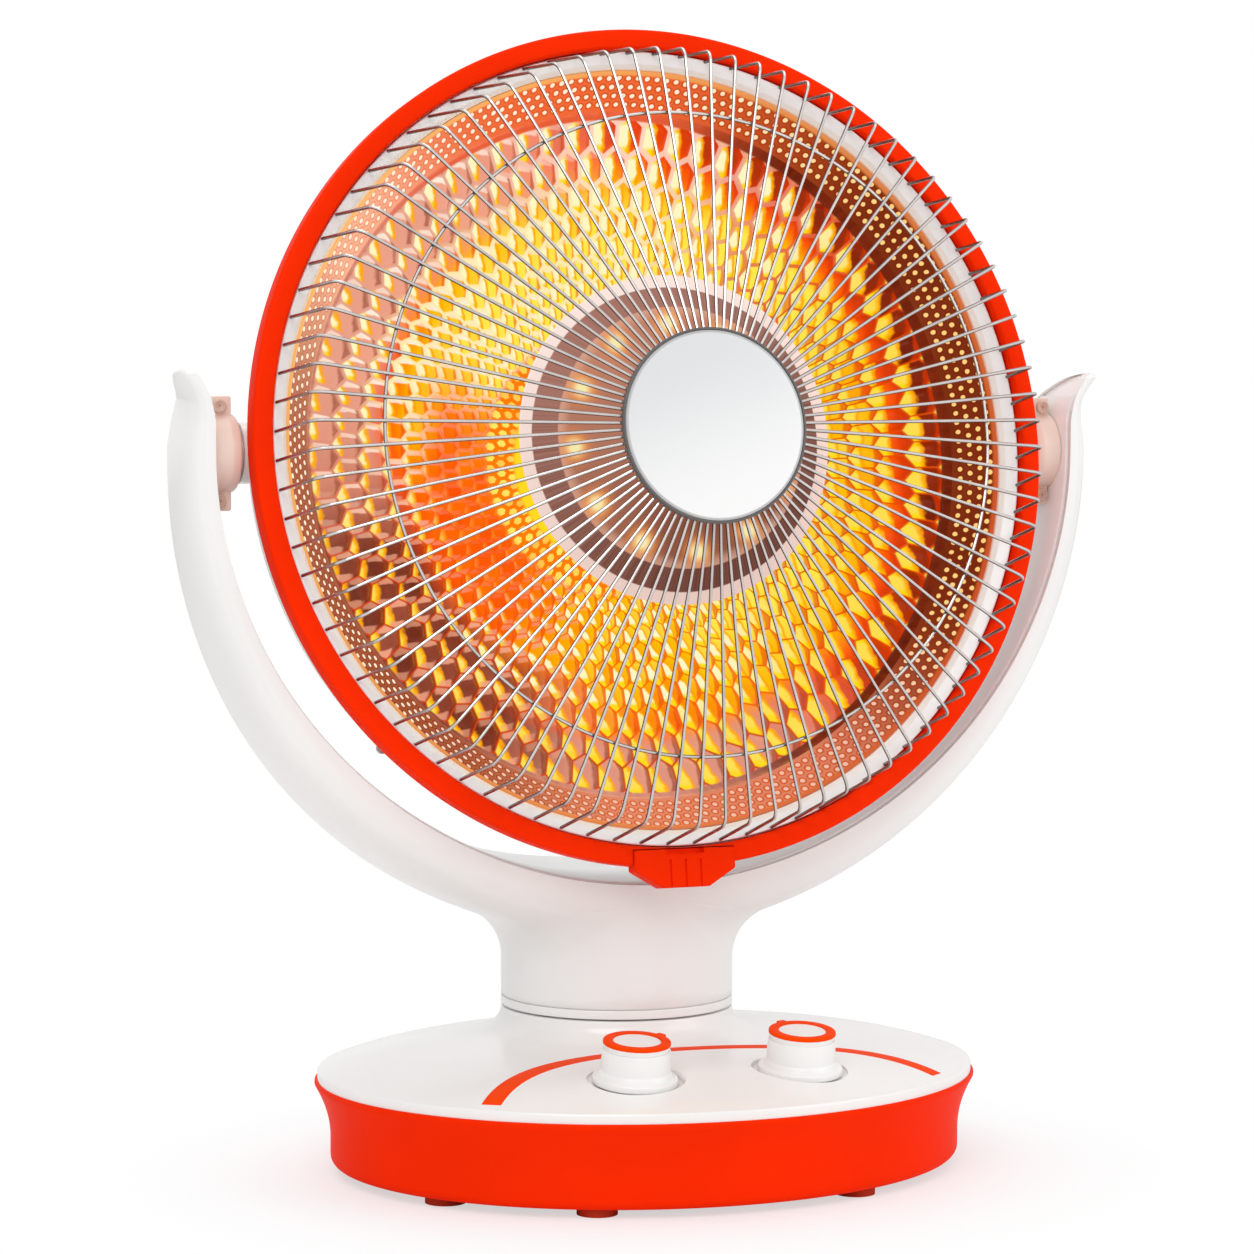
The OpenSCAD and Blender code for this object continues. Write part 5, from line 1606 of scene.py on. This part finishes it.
@dataclass
class Head:
    """Front ring, latch, rear housing and the reflector with its facets."""

    ring_face: float = 8.0
    ring_front: float = 23.0
    ring_back: float = 13.0
    edge_r: float = 154.6
    edge_f: float = 14.0
    stipple_in: float = 141.6
    band_drop: float = 16.0
    dish_in: float = 20.0
    sheet: float = 0.8
    boss_h: float = 2.2
    house_r: float = 165.8
    house_wall: float = 2.4
    latch_w: float = 21.5
    latch_low_w: float = 10.0
    lug_at: float = 165.0
    vents: int = 24
    vent_in: float = 72.0
    vent_out: float = 94.0
    vent_half: float = 2.0

    def ring_shape(self) -> Shape:
        """The front ring, with a soft bevel on its face."""
        inner = RING_R - self.ring_face
        profile = rounded([(inner, self.ring_back + 2.6, 0.3), (RING_R - 3, self.ring_back + 2.6, 0.2),
                           (RING_R - 3, self.ring_back, 0.2), (RING_R, self.ring_back, 0.5),
                           (RING_R, self.ring_front, 1.8), (inner, self.ring_front, 1.3)], 5)
        return Shape.revolved(profile, 360)

    def latch_outline(self, grow: float) -> np.ndarray:
        """Outline of the latch, grown on all sides, in the head's plane."""
        wide, low = self.latch_w + grow, self.latch_low_w + grow
        top, mid, bottom = -(RING_R - self.ring_face + 0.6) + grow, -(RING_R + 1), -(RING_R + 8) - grow
        return rounded([(-wide, top, 0.4), (-wide, mid, 1.2), (-low, bottom, 1.2), (low, bottom, 1.2),
                        (wide, mid, 1.2), (wide, top, 0.4)], 4)

    def latch_shape(self) -> Shape:
        """The latch: a chamfered plate with its knuckle behind."""
        plate = Shape.prism(self.latch_outline(0), self.ring_back + 3, self.ring_front + 1.5, 0.5)
        knuckle = Shape.prism(circle(2.8, 32, (-(RING_R + 1.6), self.ring_back - 2.6)), -7.7, 7.7, 0.3)
        outline = rounded([(-7.7, -(RING_R + 4.4), 0.3), (7.7, -(RING_R + 4.4), 0.3),
                           (7.7, -(RING_R + 0.2), 0.3), (-7.7, -(RING_R + 0.2), 0.3)], 2)
        web = Shape.prism(outline, self.ring_back - 2.6, self.ring_back + 4, 0.2)
        return Shape.joined([plate, knuckle.placed(lambda p: p[..., [2, 0, 1]]), web])

    def latch_cutters(self) -> list[Shape]:
        """Three grip grooves and the notch in the latch's top."""
        cuts = []
        front = self.ring_front + 1.5
        for x in (-6.5, 0.0, 6.5):
            low, high = -(RING_R + 9), -(RING_R - 3.2)
            box = np.array([[x - 0.45, low], [x + 0.45, low], [x + 0.45, high], [x - 0.45, high]])
            cuts.append(Shape.prism(box, front - 0.8, front + 3, 0.01))
        top = -(RING_R - self.ring_face + 0.6)
        box = np.array([[-8.2, top - 2.0], [8.2, top - 2.0], [8.2, top + 3], [-8.2, top + 3]])
        cuts.append(Shape.prism(box, front - 3, front + 3, 0.01))
        return cuts

    def ring_lugs(self) -> list[Shape]:
        """Two small lugs under the ring that hold the latch's pin."""
        lugs = []
        for side in (-1, 1):
            low, high = sorted((side * 9.7 - 1.6, side * 9.7 + 1.6))
            down, up, back = -(RING_R + 4.4), -(RING_R - 2.4), self.ring_back
            outline = rounded([(down, back - 5.2, 2.2), (up, back - 5.2, 0.6), (up, back + 1, 0),
                               (down, back + 0.4, 1.0)], 5)
            lug = Shape.prism(outline, low, high, 0.3)
            lugs.append(lug.placed(lambda p: p[..., [2, 0, 1]]))
        return lugs

    def dish_line(self, radius: np.ndarray) -> np.ndarray:
        """Height of the dish: back + depth (r / rim)^2."""
        return DISH_FRONT - DISH_DEPTH + DISH_DEPTH * (radius / DISH_R) ** 2

    def dish_shape(self) -> Shape:
        """The dish: rows of raised cells on a parabola, the step outside it, and the back.

        Returns:
            A closed sheet whose front stands out by the boss height within each cell.
        """
        columns = DISH_CELLS.around * 8
        turn = (np.arange(columns) * 2 * math.pi / columns)[:, None]
        fine = np.exp(np.linspace(math.log(DISH_R), math.log(64.0), 80))
        coarse = np.exp(np.linspace(math.log(64.0), math.log(self.dish_in), 34))[1:]
        radius = np.concatenate([fine, coarse])[None, :]
        across, _, _ = DISH_CELLS.cell(radius, turn)
        rim = 1 - smoothstep(DISH_PLAIN_R - 1.5, DISH_PLAIN_R + 0.5, radius)
        boss = (1 - smoothstep(0.26, 0.47, across)) * self.boss_h * (radius / DISH_R) * rim
        slope = 2 * DISH_DEPTH * radius / DISH_R ** 2
        long = np.sqrt(1 + slope ** 2)
        front_r = radius - boss * slope / long
        front_f = self.dish_line(radius) + boss / long
        back_r = np.linspace(self.dish_in, DISH_R, 24)[None, :]
        back_f = self.dish_line(back_r) - self.sheet
        inner_f = self.edge_f - self.band_drop
        # the step, the cells, the back from the middle outwards, and the step's back
        radii = [self.stipple_in - 0.3, self.stipple_in - 0.6, DISH_R + 1.0, DISH_R + 0.2,
                 front_r, back_r, DISH_R + 1.6, self.stipple_in + 0.8]
        heights = [inner_f - 0.05, inner_f - 0.7, DISH_FRONT + 1.0, DISH_FRONT + 0.1,
                   front_f, back_f, DISH_FRONT - self.sheet, inner_f - self.sheet]
        return Shape.spokes(turn, radii, heights)

    def band_shape(self) -> Shape:
        """The stippled band, with a rolled edge outside."""
        inner_f = self.edge_f - self.band_drop
        profile = rounded([(self.stipple_in - 0.3, inner_f - 0.05, 0),
                           (self.edge_r - 1.8, self.edge_f - 1.4, 0.8),
                           (self.edge_r - 1.0, self.edge_f + 0.4, 0.4), (self.edge_r, self.edge_f + 0.4, 0.3),
                           (self.edge_r, self.edge_f - 1.6 * self.sheet, 0),
                           (self.stipple_in + 0.8, inner_f - self.sheet, 0)], 4)
        return Shape.revolved(profile, 240)

    def house_line(self) -> list[tuple[float, float, float]]:
        """Corners of the housing's back with their radii, from the shoulder to the middle."""
        side = self.house_r - 3.4
        middle_f = DISH_FRONT - DISH_DEPTH - 27
        return [(self.house_r, self.ring_back - 0.3, 0.4), (self.house_r, self.ring_back - 6, 2.0),
                (side, self.ring_back - 10, 3.0), (side, -16, 14.0), (side - 6, -26, 10.0),
                (side - 20, -40, 16.0), (side - 44, -54, 24.0), (side - 76, -64, 40.0),
                (side - 104, middle_f, 14.0)]

    def house_shape(self) -> Shape:
        """The rear housing: its white lip inside the ring, and a smooth bowl behind.

        Returns:
            The shell with the four screw lugs.
        """
        lip_out = RING_R - self.ring_face - 0.3
        outer = self.house_line()
        middle_f = outer[-1][1]
        wall = self.house_wall
        # the inner line is the outer one from the middle back to the side, drawn in by the wall
        inner = [(r - wall, f + (wall if index > 5 else 1.2), radius * 0.9)
                 for index, (r, f, radius) in list(enumerate(outer))[:1:-1]]
        corners = ([(self.edge_r + 0.3, self.ring_back + 2.4, 0.5),
                    (self.edge_r + 2.0, self.ring_back + 4.4, 1.6),
                    (lip_out - 0.4, RING_FWD + 2, 0.6), (lip_out, self.ring_back - 0.3, 0.1)]
                   + outer + [(0.0, middle_f, 0), (0.0, middle_f + wall, 0)] + inner
                   + [(outer[2][0] - wall, self.ring_back - 7, 0.5),
                      (self.edge_r + 0.3, self.ring_back - 4, 0.5)])
        shell = Shape.revolved(rounded(corners, 6), 240)
        lugs = []
        for angle in (45, 135, 225, 315):
            a = math.radians(angle)
            at = (self.lug_at * math.cos(a), self.lug_at * math.sin(a))
            lugs.append(Shape.prism(circle(4.0, 28, at), self.ring_back - 9, self.ring_back - 0.6, 0.4))
        return Shape.joined([shell] + lugs)

    def vent_cutters(self) -> Shape:
        """Slots round the back of the housing, as one shape."""
        near, far, half = self.vent_in, self.vent_out, self.vent_half
        soft = half - 0.1
        slot = Shape.prism(rounded([(near, -half, soft), (far, -half, soft), (far, half, soft),
                                    (near, half, soft)], 5), -95, -52, 0.01)
        slots = [slot.placed(turned(index * 360 / self.vents)) for index in range(self.vents)]
        return Shape.joined(slots).placed(in_head)

    def build(self, shop: Workshop) -> None:
        """Makes the head's pieces.

        Args:
            shop: The workshop.
        """
        notch = Shape.prism(self.latch_outline(0.4), self.ring_back + 2.7, 60, 0.01).placed(in_head)
        ring = Shape.joined([self.ring_shape()] + self.ring_lugs()).placed(in_head)
        shop.piece("ring", ring, "orange_plastic", Body.HEAD, "orange_plastic", ["front_ring"], [notch])
        cuts = [cut.placed(in_head) for cut in self.latch_cutters()]
        shop.piece("latch", self.latch_shape().placed(in_head), "orange_plastic", Body.LATCH,
                   "orange_plastic", ["ring_latch"], cuts, sharp=25)
        shop.piece("housing", self.house_shape().placed(in_head), "lip_white_painted_light", Body.HEAD, "white_plastic",
                   ["rear_housing"], [self.vent_cutters()])
        shop.piece("dish", self.dish_shape().placed(in_head), "glowing_dish", Body.HEAD, "polished_metal",
                   ["reflector"], sharp=60)
        shop.piece("stipple_band", self.band_shape().placed(in_head), "stippled_band", Body.HEAD,
                   "polished_metal")


@dataclass
class Guard:
    """Radial wires, hoop, cap and its dark rim."""

    wires: int = 88
    wire_r: float = 0.7
    hub_wire_r: float = 34.1
    hub_f: float = 75.4
    bend_r: float = 155.0
    bend_f: float = 54.5
    bend_round: float = 6.0
    rest_r: float = 160.4
    rest_f: float = 20.4
    hoop_r: float = 128.0
    cap_r: float = 38.6
    cap_f: float = 80.0
    cap_t: float = 3.0
    rim_w: float = 1.0

    def wire_path(self) -> np.ndarray:
        """One wire's line of radius and height: out, round the bend, and back to the ring.

        Returns:
            Rows of radius and height, evenly spread on the bend's arc.
        """
        start = np.array([self.hub_wire_r, self.hub_f + self.wire_r])
        bend = np.array([self.bend_r, self.bend_f])
        rest = np.array([self.rest_r, self.rest_f])
        arc = rounded([(*start, 0), (*bend, self.bend_round), (*rest, 0)], 7)[1:-1]
        out = start + (arc[0] - start) * np.linspace(0, 1, 6)[:-1, None]
        home = arc[-1] + (rest - arc[-1]) * np.linspace(0, 1, 4)[1:, None]
        return np.concatenate([out, arc, home])

    def wires_shape(self) -> Shape:
        """All the wires, each a tube along the same line turned about the axis."""
        line = self.wire_path()
        path = np.column_stack([line[:, 0], np.zeros(len(line)), line[:, 1]])
        side = np.tile([0.0, 1.0, 0.0], (len(path), 1))
        one = Shape.tube(path, side, self.wire_r, 8)
        turns = [(index + 0.5) * 360 / self.wires for index in range(self.wires)]
        return Shape.joined([one.placed(turned(turn)) for turn in turns])

    def hoop_shape(self) -> Shape:
        """The hoop behind the wires."""
        share = (self.hoop_r - self.hub_wire_r) / (self.bend_r - self.hub_wire_r)
        top = self.hub_f + self.wire_r
        height = top + (self.bend_f - top) * share - 2 * self.wire_r - 0.15
        ring = circle(self.hoop_r, 240)
        path = np.column_stack([ring, np.full(len(ring), height)])
        side = np.tile([0.0, 0.0, 1.0], (len(path), 1))
        return Shape.tube(path, side, self.wire_r, 10, closed=True)

    def cap_shape(self) -> Shape:
        """The cap: a very slightly domed disc with a soft edge."""
        edge = self.cap_r - self.rim_w - 0.03
        dome = [(r, self.cap_f - 0.9 * (r / edge) ** 2, 0) for r in np.linspace(0, edge - 1.5, 10)]
        profile = rounded(dome + [(edge, self.cap_f - 1.1, 0.7), (edge, self.cap_f - self.cap_t, 0),
                                  (0, self.cap_f - self.cap_t, 0)], 5)
        return Shape.revolved(profile, 180)

    def cap_rim_shape(self) -> Shape:
        """The thin dark rim round the cap."""
        inner = self.cap_r - self.rim_w
        profile = rounded([(inner, self.cap_f - self.cap_t, 0), (self.cap_r, self.cap_f - self.cap_t, 0.3),
                           (self.cap_r, self.cap_f - 0.9, 0.4), (inner, self.cap_f - 0.9, 0.2)], 4)
        return Shape.revolved(profile, 180)

    def build(self, shop: Workshop) -> None:
        """Makes the guard's pieces.

        Args:
            shop: The workshop.
        """
        for name, shape, finish, slot, node in (
                ("wires", self.wires_shape(), "chrome_wire", "chrome_wire", "guard_wires"),
                ("hoop", self.hoop_shape(), "chrome_wire", "chrome_wire", "guard_hoop"),
                ("cap", self.cap_shape(), "satin_cap", "satin_cap", "hub_cap"),
                ("cap_edge", self.cap_rim_shape(), "cap_edge", "black_plastic", "cap_rim")):
            shop.piece(name, shape.placed(in_head), finish, Body.HEAD, slot, [node])


@dataclass
class Element:
    """Shade with the glow of its holes painted on, and the winding behind it."""

    shade_r: float = 66.3
    face_r: float = 52.5
    cone_r: float = 61.3
    shade_f: float = 36.8
    shade_h: float = 8.0
    core_r: float = 13.0
    coil_r: float = 17.0
    coil_from: float = -16.0
    turns: int = 12
    wire_r: float = 1.1

    def shade_shape(self) -> Shape:
        """The shade: flange, cone and slightly domed face, with rolled rim."""
        top = self.shade_f + self.shade_h
        face = [(r, top - 0.6 * (r / self.face_r) ** 2, 0) for r in np.linspace(3.2, self.face_r - 2, 8)]
        corners = (face + [(self.face_r, top - 0.8, 1.2), (self.cone_r, self.shade_f + 1.0, 1.0),
                           (self.shade_r, self.shade_f + 1.0, 0.4), (self.shade_r, self.shade_f, 0.4),
                           (self.cone_r - 0.7, self.shade_f, 0.6), (self.face_r - 0.7, top - 1.8, 0.6),
                           (3.2, top - 1.0, 0)])
        return Shape.revolved(rounded(corners, 4), 180)

    def coil_shape(self) -> Shape:
        """The winding: a helix of radius r and even pitch, as one tube."""
        low = self.coil_from + self.wire_r
        high = self.shade_f + self.shade_h - 1.0 - 5.3 - self.wire_r
        turn = np.linspace(0, 2 * math.pi * self.turns, 24 * self.turns)
        middle = (self.core_r + 0.3 + self.coil_r) / 2
        climb = np.linspace(low, high, len(turn))
        path = np.column_stack([middle * np.cos(turn), middle * np.sin(turn), climb])
        side = np.tile([0.0, 0.0, 1.0], (len(path), 1))
        return Shape.tube(path, side, self.wire_r, 8)

    def build(self, shop: Workshop) -> None:
        """Makes the element's pieces.

        Args:
            shop: The workshop.
        """
        shop.piece("shade_front", self.shade_shape().placed(in_head), "shade_painted_glow", Body.HEAD,
                   "dark_shade", ["shade"])
        shop.piece("winding", self.coil_shape().placed(in_head), "glowing_wire", Body.HEAD,
                   "glowing_wire", ["heating_coil"])


# --- studio ------------------------------------------------------------------


def facing(place: np.ndarray, back: np.ndarray, roll: float = 0.0) -> Matrix:
    """Where a camera or lamp stands, and how it is turned.

    Args:
        place: Its place, in metres.
        back: The direction away from what it faces, of length 1.
        roll: Turn about that direction, in degrees.

    Returns:
        The object's matrix, with its own X level before the roll.
    """
    right = np.cross([0.0, 0.0, 1.0], back)
    right /= np.linalg.norm(right)
    up = np.cross(back, right)
    c, s = math.cos(math.radians(roll)), math.sin(math.radians(roll))
    matrix = np.eye(4)
    matrix[:3, :] = np.column_stack([right * c + up * s, up * c - right * s, back, place])
    return Matrix(matrix.tolist())


@dataclass
class Studio:
    """Camera, pale floor and soft lights."""

    azimuth: float = -21.36
    elevation: float = 3.57
    distance: float = 1600.0
    target: tuple[float, float, float] = (4.15, 34.5, 217.9)
    focal_px: float = 3846.9
    image_px: float = 1254.0
    roll: float = 0.2
    sensor: float = 36.0
    room_light: float = 0.62
    floor_half: float = 6.0
    floor_w: float = 0.140
    floor_d: float = 0.120

    def camera(self) -> None:
        """Makes the camera at the photograph's viewing angle."""
        data = bpy.data.cameras.new("camera")
        data.sensor_width = self.sensor
        data.sensor_fit = "HORIZONTAL"
        data.lens = self.focal_px * self.sensor / self.image_px
        data.clip_end = 20.0
        az, el = math.radians(self.azimuth), math.radians(self.elevation)
        back = np.array([math.sin(az) * math.cos(el), -math.cos(az) * math.cos(el), math.sin(el)])
        place = (np.array(self.target) + back * self.distance) * MM
        camera = bpy.data.objects.new("camera", data)
        camera.matrix_world = facing(place, back, self.roll)
        bpy.context.scene.collection.objects.link(camera)
        bpy.context.scene.camera = camera

    def lamp(self, name: str, place: tuple[float, float, float], size: float, power: float,
             aim: tuple[float, float, float] = (0, 0, 0.2)) -> None:
        """Adds a square soft lamp.

        Args:
            name: Its name.
            place: Where it stands, in metres.
            size: Width of the lamp, in metres.
            power: Its power in watts.
            aim: The point that it faces.
        """
        data = bpy.data.lights.new(name, "AREA")
        data.shape = "SQUARE"
        data.size = size
        data.energy = power
        lamp = bpy.data.objects.new(name, data)
        back = np.array(place) - np.array(aim)
        lamp.matrix_world = facing(np.array(place), back / np.linalg.norm(back))
        bpy.context.scene.collection.objects.link(lamp)

    def world(self) -> None:
        """Fills the world: soft light for surfaces, white for the camera and for mirrors."""
        world = bpy.data.worlds.new("studio")
        bpy.context.scene.world = world
        world.use_nodes = True
        tree = world.node_tree
        tree.nodes.clear()
        light = tree.nodes.new("ShaderNodeLightPath")
        seen = light.outputs["Is Camera Ray"]
        for ray in ("Is Glossy Ray", "Is Transmission Ray"):
            either = tree.nodes.new("ShaderNodeMath")
            either.operation = "MAXIMUM"
            tree.links.new(seen, either.inputs[0])
            tree.links.new(light.outputs[ray], either.inputs[1])
            seen = either.outputs[0]
        mix = tree.nodes.new("ShaderNodeMixShader")
        tree.links.new(seen, mix.inputs[0])
        for socket, strength in ((1, self.room_light), (2, 1.0)):
            plain = tree.nodes.new("ShaderNodeBackground")
            plain.inputs["Color"].default_value = (1.0, 1.0, 1.0, 1.0)
            plain.inputs["Strength"].default_value = strength
            tree.links.new(plain.outputs[0], mix.inputs[socket])
        output = tree.nodes.new("ShaderNodeOutputWorld")
        tree.links.new(mix.outputs[0], output.inputs["Surface"])

    def floor(self) -> None:
        """Makes the floor, which fades to plain white away from the heater."""
        mesh = bpy.data.meshes.new("floor")
        half = self.floor_half
        spots = [(-half, -half, 0), (half, -half, 0), (half, half, 0), (-half, half, 0)]
        mesh.from_pydata(spots, [], [(0, 1, 2, 3)])
        floor = bpy.data.objects.new("floor", mesh)
        bpy.context.scene.collection.objects.link(floor)
        graph = Graph("floor_white")
        graph.set(Base_Color=(0.93, 0.93, 0.93), Roughness=0.7)
        tree = graph.tree
        parts = graph.add("ShaderNodeSeparateXYZ", None, {0: graph.place()}).outputs
        x, y = Number(graph, parts[0]), Number(graph, parts[1])
        away = ((x / self.floor_w) ** 2.0 + (y / self.floor_d) ** 2.0).maths("SQRT").rise(0.92, 1.75)
        light = graph.add("ShaderNodeLightPath")
        seen = Number(graph, light.outputs["Is Camera Ray"])
        glow = graph.add("ShaderNodeEmission", None, {"Color": (1.0, 1.0, 1.0), "Strength": 1.0})
        mix = graph.add("ShaderNodeMixShader", None, {0: (away * 0.4 + 0.6) * seen})
        tree.links.new(graph.shader.outputs[0], mix.inputs[1])
        tree.links.new(glow.outputs[0], mix.inputs[2])
        output = next(node for node in tree.nodes if node.type == "OUTPUT_MATERIAL")
        tree.links.new(mix.outputs[0], output.inputs["Surface"])
        mesh.materials.append(graph.material)
        floor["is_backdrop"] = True

    def build(self) -> None:
        """Sets up the whole studio."""
        bpy.context.scene.view_settings.view_transform = "Standard"
        self.camera()
        self.world()
        self.floor()
        self.lamp("key", (-0.9, -1.5, 1.6), 1.2, 16.0)
        self.lamp("fill", (1.4, -1.2, 0.9), 1.2, 7.0)
        self.lamp("top", (0.0, 0.5, 2.0), 1.4, 9.0)


SLOT_FINISHES = {
    "white_plastic": "white_plastic", "orange_plastic": "orange_plastic", "orange_rubber": "orange_rubber",
    "black_plastic": "black_plastic", "satin_cap": "satin_cap", "chrome_wire": "chrome_wire",
    "zinc_steel": "zinc_steel", "polished_metal": "glowing_dish", "dark_shade": "shade_painted_glow",
    "ceramic": "ceramic", "glowing_wire": "glowing_wire", "iron": "iron",
}


def corners(box: Sequence[Sequence[float]]) -> list[list[float]]:
    """A box as plain lists of numbers."""
    return [[float(value) for value in corner] for corner in box]


def main() -> None:
    """Builds the heater's looks, one sub-assembly after another."""
    logging.basicConfig(level=logging.INFO, format="%(message)s")
    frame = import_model()
    cad_box = corners(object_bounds())
    studio = Studio()
    studio.build()
    shop = Workshop(frame, Finishes())
    shop.dress(SLOT_FINISHES)
    for assembly in (Base(), Yoke(), Head(), Guard(), Element()):
        LOG.info("building %s", type(assembly).__name__)
        assembly.build(shop)
    {"cad": cad_box, "visual": corners(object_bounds())}


if __name__ == "__main__":
    main()
